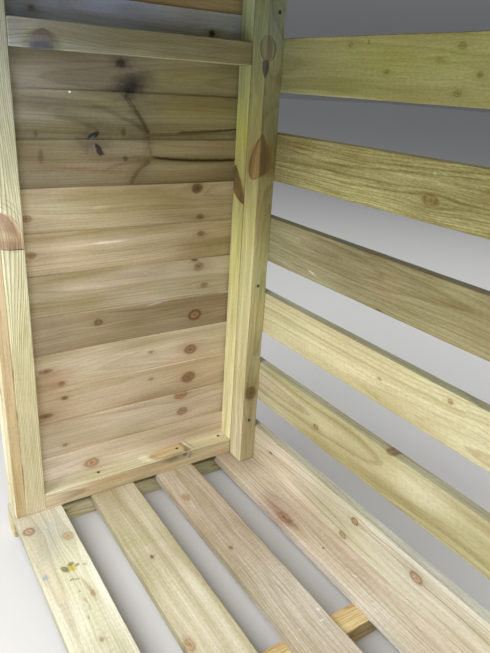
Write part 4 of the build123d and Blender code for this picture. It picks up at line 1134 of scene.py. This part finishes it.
def sloping(node, seed, y0, y1, depth, material=M_FRAME, slot="frame_wood", more=(), **kw):
    """A rail that runs down the roof's slope between two upright planes."""
    lo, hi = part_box(node)
    U = Vector((0, math.cos(PITCH), -math.sin(PITCH)))
    V = Vector((0, math.sin(PITCH), math.cos(PITCH)))       # W = U x V = +X
    A = depth * math.cos(PITCH)
    o = Vector((lo.x, y0, roof_under(y0))) - V * A
    L = (y1 - y0) / math.cos(PITCH)

    def cut(u, v, w):
        # plane y = y0 at u = 0 and y = y1 at u = L
        back = (v - A) * math.sin(PITCH) / math.cos(PITCH)
        return (u - back, v, w)

    return Stock().board(o, U, V, L, A, hi.x - lo.x, shape=cut, seed=seed, knots=list(more), **kw).finish(
        "v_" + node, material, slot, [node])


for k, side in enumerate(("left", "right")):
    sloping(f"{side}_top_rail", 61.0 + k, FRONT_POST[1], REAR_POST[0], 0.042)
sloping("roof_rafter", 63.3, FRONT_POST[1], REAR_POST[0], 0.042, more=random_knots(0.487, 0.041, 0.047, 0.25, seed=95, rmax=0.008))
for k, side in enumerate(("left", "right")):
    node = f"verge_board_{side}"
    sloping(node, 65.0 + k, low(node).y, high(node).y, 0.070, M_TRIM, "trim_wood",
            more=random_knots(0.6, 0.068, 0.022, 0.3, seed=97 + k, rmax=0.008))


def beam(node, seed, material, slot, more=(), **kw):
    """Along X, its top cut to the roof's slope: W = X x Z = -Y."""
    lo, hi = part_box(node)
    o = Vector((lo.x, hi.y, lo.z))
    A = hi.z - lo.z

    def cut(u, v, w):
        top = roof_under(o.y - w) - o.z
        return (u, v * top / A, w)

    return Stock().board(o, X, Z, hi.x - lo.x, A, hi.y - lo.y, shape=cut, seed=seed, knots=list(more),
                         **kw).finish("v_" + node, material, slot, [node])


beam("front_header", 67.0, M_FRAME, "frame_wood", more=random_knots(1.09, 0.07, 0.042, 0.3, seed=101, rmax=0.009))
beam("back_top_rail", 68.4, M_FRAME, "frame_wood", more=random_knots(0.99, 0.05, 0.042, 0.3, seed=102, rmax=0.009))
beam("front_fascia", 69.9, M_TRIM, "trim_wood", more=random_knots(1.27, 0.1, 0.022, 0.25, seed=103))

# ---------------------------------------------------------------- cladding
# feather-edge boards, 98 mm wide, lapped over the board below
TOPS = [159.4, 243.0, 327.0, 412.0, 493.7, 582.7, 668.5, 755.0, 843.0, 931.0, 1016.0, 1090.0]
while TOPS[-1] < 1400:
    TOPS.append(TOPS[-1] + 86.3)
# knots on the inner faces, row millimetres: (y, z, radius, elongation, kind, outline)
CLAD_KNOTS = [
    (148, 743, 6.0, 1.2, 0.75, 0.5), (160, 679, 4.5, 1.4, 0.50, 0.4), (161, 641, 4.5, 1.4, 0.45, 0.4), (146, 582, 3.6, 1.5, 0.65, 0.4),
    (158, 564, 6.0, 1.2, 0.50, 0.1), (176, 516, 5.0, 1.4, 0.25, 0.3), (152, 445, 7.5, 1.25, 0.04, 0.9), (143, 356, 7.0, 1.25, 0.45, 0.6),
    (139, 282, 8.0, 1.25, 0.55, 0.6), (118, 238, 6.5, 1.5, 0.25, 0.4), (124, 189, 6.0, 1.3, 0.40, 0.5),
    (-218, 699, 5.0, 1.4, 0.40, 0.4), (-214, 627, 4.5, 1.4, 0.40, 0.4), (-85, 466, 5.5, 1.2, 0.50, 0.5),
    (-204, 373, 4.0, 2.6, 0.50, 0.3), (-171, 336, 3.5, 1.4, 0.40, 0.4), (-167, 301, 3.8, 1.4, 0.65, 0.4), (-209, 265, 4.5, 2.4, 0.55, 0.3),
    (-114, 115, 7.0, 1.4, 0.25, 0.5), (-172, 180, 3.0, 1.4, 0.35, 0.4), (38, 370, 3.0, 1.4, 0.30, 0.3), (38, 300, 3.0, 1.4, 0.25, 0.3),
]


def cladding(side):
    left = side == "left"
    node = f"{side}_cladding"
    lo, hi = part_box(node)
    S = Stock()
    y_front, y_rear = lo.y, hi.y
    bottom = FLOOR_TOP
    g = random.Random(7 if left else 8)
    for i, top in enumerate(TOPS):
        top /= 1000.0
        width = 0.0984 + g.uniform(-0.0006, 0.0006)
        if i:
            bottom = top - width
        width = top - bottom
        foot = 0.0 if i == 0 else 0.0064
        thick, thin = 0.0098, 0.0052
        if bottom > roof_under(y_front) - 0.004:
            break
        # where the roof's slope cuts this board, it ends with 4 mm left
        y_end = y_rear
        if roof_under(y_rear) - bottom < 0.004:
            y_end = (ROOF_MIDDLE - bottom - 0.004) / math.tan(PITCH)
        if y_end - y_front < 0.03:
            break
        L = y_end - y_front
        if left:
            U, o = -Y, Vector((-OUTSIDE, y_end, bottom))
        else:
            U, o = Y, Vector((OUTSIDE, y_front, bottom))
        tilt = g.uniform(-0.0006, 0.0006)

        def shape(u, v, w, foot=foot, width=width, o=o, U=U, bottom=bottom, thick=thick, thin=thin, tilt=tilt, L=L):
            y = o.y + U.y * u
            room = roof_under(y) - bottom
            f = min(1.0, room / width)
            vv = v * f
            t = vv / width
            ww = foot * (1 - t) + w / 0.0098 * (thick + (thin - thick) * t)
            ww += tilt * (u / L - 0.5)
            vv += 0.0011 * noise.noise(Vector((u * 3.0, bottom * 9.0, 1.3))) * t * (1.0 if f == 1.0 else 0.0)
            return (u, vv, max(ww, 0.0002 * (1 - t)))

        ks = []
        if left:
            for (y, z, r, e, kd, line) in CLAD_KNOTS:
                y, z = y / 1000, z / 1000
                if (i == 0 or z > TOPS[i - 1] / 1000) and z <= top:
                    r *= 1.7 if r > 5.5 else 1.3
                    ks.append(knot((o.y - y, z - bottom, 0.004), r / 1000, e, kd, (0, 0, 1), line))
        more = random_knots(L, width, 0.01, 0.3, seed=(200 if left else 300) + i, rmax=0.008)
        if left and i <= 10:
            more = []
        k = g.uniform(0.80, 0.92)
        tone = (k, k * g.uniform(0.95, 1.0), k * g.uniform(0.90, 1.0))
        inner = TINT.get(f"clad_{i}") if left else None
        # face 1 is the board's top edge, the ledge: a painted highlight (lighter) on the right panel, and on the left
        # panel painted shade that gets darker board by board upwards
        edge = 1.12
        if inner:                                      # face 0 looks into the store
            inner = tuple(a / b for a, b in zip(inner, tone))
            edge = 1.0 if i < 4 else (0.86 if i < 8 else 0.62)

        # painted light and shade on the left panel's inner faces along y: most boards lighter and bluer at the front,
        # board 2 darker there, boards 8 and up lighter at the rear
        def inside_paint(P, i=i):
            if not left or i > 11 or P.x < -OUTSIDE - 0.009:
                return (1.0, 1.0, 1.0)
            front_lighting = (1.0, 1.0, 1.0) if i in (0, 3) else ((0.95, 0.87, 0.86) if i == 2 else (1.13, 1.14, 1.24))
            table = [(-0.240, front_lighting), (-0.120, 1.03), (0.0, 1.0), (0.080, 1.0 if i < 8 else (1.15, 1.10, 0.97))]
            return along_table(table, P.y)
        S.board(o, U, Z, L, width, 0.0098, shape=shape, r=0.0008, knots=ks + more, seed=120 + i * 2.3 + (0 if left else 50),
                tint=tone, faces={0: inner or (1.0, 1.0, 1.0), 1: (edge, edge * 1.02, edge * 1.10)}, paint=inside_paint, fibre=0.6, wear=0.0004, step=0.008, along=0.009, grain=g.uniform(0.4, 0.8), blotch=1.4,
                green=g.uniform(0.1, 0.6), pith=(g.uniform(-0.02, 0.12), -g.uniform(0.02, 0.06), g.uniform(0.0036, 0.0056)))
    return S.finish("v_" + node, M_CLAD, "cladding_wood", [node])


cladding("left")
cladding("right")

# ---------------------------------------------------------------- roof boards
EXPOSED, ROOF_BOARD, COUNT = 0.102, 0.125, 7
SLOPE = (ROOF_REAR - ROOF_FRONT) / math.cos(PITCH)
RU = Vector((0, math.cos(PITCH), -math.sin(PITCH)))
RN = Vector((0, math.sin(PITCH), math.cos(PITCH)))
S = Stock()
for k in range(COUNT):
    foot = SLOPE - (COUNT - 1 - k) * EXPOSED
    if k == COUNT - 1:
        foot = SLOPE - 0.017 * math.tan(PITCH)
    head = max(0.0, foot - ROOF_BOARD)
    width = foot - head
    o = Vector((-ROOF_HALF, ROOF_FRONT, roof_under(ROOF_FRONT))) + RU * head
    lift = 0.0068 if k < COUNT - 1 else 0.0058

    def shape(u, v, w, width=width, lift=lift, k=k):
        t = v / width
        return (u, v, lift * t + w / 0.010 * (0.0052 + 0.0046 * t) + 0.0006 * noise.noise(Vector((u * 2.5, k * 3.1, t))) * t)

    # W = X x RU = RN, up from the underside
    S.board(o, X, RU, 2 * ROOF_HALF, width, 0.010, shape=shape, r=0.0008,
            knots=random_knots(2 * ROOF_HALF, width, 0.01, 0.28, seed=400 + k, rmax=0.009), seed=180 + k * 1.9, wear=0.0005,
            tint=tuple(rng.uniform(0.62, 0.70) for _ in range(3)), step=0.010, along=0.014, green=rng.uniform(0.2, 0.8))
S.finish("v_roof_boards", M_ROOF, "roof_wood", ["roof_boards"])


# ---------------------------------------------------------------- nails and screws
class Heads:
    def __init__(self):
        self.v, self.f = [], []

    def nail(self, p, n, r=0.0026, proud=0.0004, g=None):
        self.disc(p, n, r, proud, lambda x, y: 0.0)

    def screw(self, p, n, r=0.0036, proud=0.0009, turn=0.3):
        def cross(x, y):
            c, s = math.cos(turn), math.sin(turn)
            a, b = x * c + y * s, -x * s + y * c
            q = min(abs(a), abs(b))
            m = max(abs(a), abs(b))
            return -0.0011 if q < 0.00062 and m < r * 0.62 else 0.0
        self.disc(p, n, r, proud, cross, rings=9, seg=28)

    def disc(self, p, n, r, proud, relief, rings=3, seg=14):
        n = Vector(n).normalized()
        a = n.orthogonal().normalized()
        b = n.cross(a)
        p = Vector(p)
        base = len(self.v)
        self.v.append(tuple(p + n * (proud + relief(0, 0))))
        for k in range(1, rings + 1):
            rr = r * k / rings
            fall = 0.0003 * (k / rings) ** 4
            for j in range(seg):
                ang = 2 * math.pi * j / seg
                x, y = rr * math.cos(ang), rr * math.sin(ang)
                self.v.append(tuple(p + a * x + b * y + n * (proud - fall + relief(x, y))))
        for j in range(seg):                           # a short skirt into the wood
            ang = 2 * math.pi * j / seg
            self.v.append(tuple(p + a * (r * math.cos(ang)) + b * (r * math.sin(ang)) - n * 0.0012))
        for j in range(seg):
            self.f.append((base, base + 1 + j, base + 1 + (j + 1) % seg))
        for k in range(rings):
            for j in range(seg):
                q = base + 1 + k * seg
                self.f.append((q + j, q + seg + j, q + seg + (j + 1) % seg, q + (j + 1) % seg))
        last = base + 1 + rings * seg
        self.f.append(tuple(last + j for j in reversed(range(seg))))

    def finish(self, name, material, slot):
        me = bpy.data.meshes.new(name)
        me.from_pydata(self.v, [], self.f)
        me.update()
        me.polygons.foreach_set("use_smooth", [True] * len(me.polygons))
        me.set_sharp_from_angle(angle=math.radians(35))
        me.materials.append(material)
        ob = bpy.data.objects.new(name, me)
        bpy.context.scene.collection.objects.link(ob)
        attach(ob, "root")
        return ob


g = random.Random(5)
H = Heads()
for i in range(1, 5):
    lo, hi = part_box(f"floor_slat_{i}")
    for node in ("bearer_left", "bearer_middle", "bearer_right"):
        bx = (low(node).x + high(node).x) / 2
        for fy in (0.22, 0.78):
            H.nail((bx + g.uniform(-0.008, 0.008), lo.y + (hi.y - lo.y) * fy + g.uniform(-0.006, 0.006), hi.z), Z)
H.finish("floor_nails", M_NAIL, "floor_wood")

H = Heads()
for i in range(1, 7):
    lo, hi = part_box(f"back_slat_{i}")
    for sx in (-1, 1):
        for fz in (0.25, 0.75):
            H.nail((sx * (INSIDE - 0.025 + g.uniform(-0.008, 0.008)), hi.y, lo.z + (hi.z - lo.z) * fz + g.uniform(-0.005, 0.005)), Y)
            H.nail((sx * (OUTSIDE - 0.020 + g.uniform(-0.006, 0.006)), hi.y, lo.z + (hi.z - lo.z) * fz + g.uniform(-0.005, 0.005)), Y)
H.finish("back_nails", M_NAIL, "back_slat_wood")

H = Heads()
for sx in (-1, 1):
    for i, top in enumerate(TOPS):
        z = top / 1000 - 0.0984 + 0.030
        for y in (FRONT_POST[0] + 0.021, REAR_POST[0] + 0.02):
            if z < roof_under(y) - 0.085:
                # the outer face at this height of the board
                t = 0.030 / 0.0984
                w = (0.0064 if i else 0.0) * (1 - t) + 0.0098 + (0.0052 - 0.0098) * t
                H.nail((sx * (OUTSIDE + w - 0.0001), y + g.uniform(-0.005, 0.005), z + g.uniform(-0.002, 0.002)), (sx, 0, 0.05))
    for z in (0.11, 0.34, 0.58, 0.82, 1.04, 1.23):
        H.nail((sx * (INSIDE + 0.018 + g.uniform(-0.003, 0.003)), TRIM_FRONT, z + g.uniform(-0.02, 0.02)), -Y)
        H.nail((sx * (INSIDE + 0.045 + g.uniform(-0.003, 0.003)), TRIM_FRONT, z + 0.01 + g.uniform(-0.02, 0.02)), -Y)
H.finish("cladding_nails", M_NAIL, "cladding_wood")

H = Heads()
for k in range(COUNT):
    foot = SLOPE - (COUNT - 1 - k) * EXPOSED - 0.030
    for x in (-0.570, 0.0, 0.570):
        p = Vector((x + g.uniform(-0.006, 0.006), ROOF_FRONT, roof_under(ROOF_FRONT))) + RU * foot
        H.nail(p + RN * 0.01375, RN + RU * 0.09)
H.finish("roof_nails", M_NAIL, "roof_wood")

H = Heads()
lo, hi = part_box("back_post_left")
for sx in (-1, 1):
    for (y, z) in ((266, 1093), (259.5, 534), (260.7, 179)):
        H.screw((sx * -hi.x, y / 1000, z / 1000), (-sx, 0, 0), turn=g.uniform(0, 1.5))
    for (x, y) in ((0.570, -0.107), (0.572, 0.098), (0.574, 0.220)):
        H.screw((sx * x, y, FLOOR_TOP + 0.040), Z, turn=g.uniform(0, 1.5))
lo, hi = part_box("front_fascia")
for x in (-0.58, 0.0, 0.58):
    for dz in (0.025, 0.072):
        H.screw((x + g.uniform(-0.01, 0.01), lo.y, lo.z + dz), -Y, turn=g.uniform(0, 1.5))
H.finish("screws", M_SCREW, "frame_wood")

# ---------------------------------------------------------------- stage, light, camera
floor_mat = bpy.data.materials.new("stage_floor")
ft = Tree(floor_mat)
fb = ft.node("ShaderNodeBsdfPrincipled")
fb.inputs["Base Color"].default_value = (0.46, 0.455, 0.445, 1.0)
fb.inputs["Roughness"].default_value = 0.9
fo = ft.node("ShaderNodeOutputMaterial")
ft.t.links.new(fb.outputs[0], fo.inputs[0])
me = bpy.data.meshes.new("stage_floor")
me.from_pydata([(-40, -40, -0.0004), (40, -40, -0.0004), (40, 40, -0.0004), (-40, 40, -0.0004)], [], [(0, 1, 2, 3)])
me.materials.append(floor_mat)
floor = bpy.data.objects.new("stage_floor", me)
bpy.context.scene.collection.objects.link(floor)

world = bpy.data.worlds.new("soft_light")
bpy.context.scene.world = world
world.use_nodes = True
bg = world.node_tree.nodes["Background"]
# dim at the horizon, as the floor is there, and brighter overhead
wt = Tree.__new__(Tree)
wt.t = world.node_tree
high_up = wt.sep(wt.node("ShaderNodeTexCoord").outputs["Generated"])[2]
wt.put(bg.inputs["Color"], wt.ramp(wt.line(high_up, 0.0, 1.0, 0.0, 1.0), [
    (0.0, (0.105, 0.107, 0.110)), (0.10, (0.125, 0.128, 0.132)), (0.45, (0.265, 0.273, 0.285)), (1.0, (0.31, 0.32, 0.335))]))
bg.inputs["Strength"].default_value = 1.0


def area(name, pos, target, size, watts, colour=(1, 1, 1)):
    light = bpy.data.lights.new(name, "AREA")
    light.shape = "DISK"
    light.size = size
    light.energy = watts
    light.color = colour
    ob = bpy.data.objects.new(name, light)
    ob.location = pos
    ob.rotation_euler = (Vector(target) - Vector(pos)).to_track_quat("-Z", "Y").to_euler()
    bpy.context.scene.collection.objects.link(ob)
    return ob


def ring_light(name, azimuth, elevation, watts, size=2.6, colour=(1, 1, 1)):
    """A soft light 4 m away; azimuth 0 is in front of the store, 90 at its right end."""
    a, e = math.radians(azimuth), math.radians(elevation)
    aim = Vector((-0.1, 0.0, 0.5))
    area(name, aim + 4.0 * Vector((math.sin(a) * math.cos(e), -math.cos(a) * math.cos(e), math.sin(e))), aim, size, watts, colour)


ring_light("key_front", 10, 45, 188.0)
ring_light("key_left", -30, 45, 64.0)
ring_light("key_right", 75, 45, 212.0)
ring_light("fill_back", 190, 35, 40.0, 3.0)

cam_data = bpy.data.cameras.new("camera")
cam_data.sensor_fit = "VERTICAL"
cam_data.sensor_height = 36.0
cam_data.lens = 598.0 / 653.0 * 36.0
cam_data.clip_start = 0.02
cam = bpy.data.objects.new("camera", cam_data)
right = Vector((0.54295727, 0.8377276, 0.05839421))
up = Vector((-0.34583858, 0.15969877, 0.92460369))
forward = Vector((-0.76524054, 0.52221526, -0.37642813))
m = Matrix((right, up, -forward)).transposed().to_4x4()
m.translation = Vector((0.56714, -0.495326, 0.961777))
cam.matrix_world = m
bpy.context.scene.collection.objects.link(cam)
bpy.context.scene.camera = cam
bpy.context.scene.view_settings.view_transform = "Standard"

bpy.context.view_layer.update()
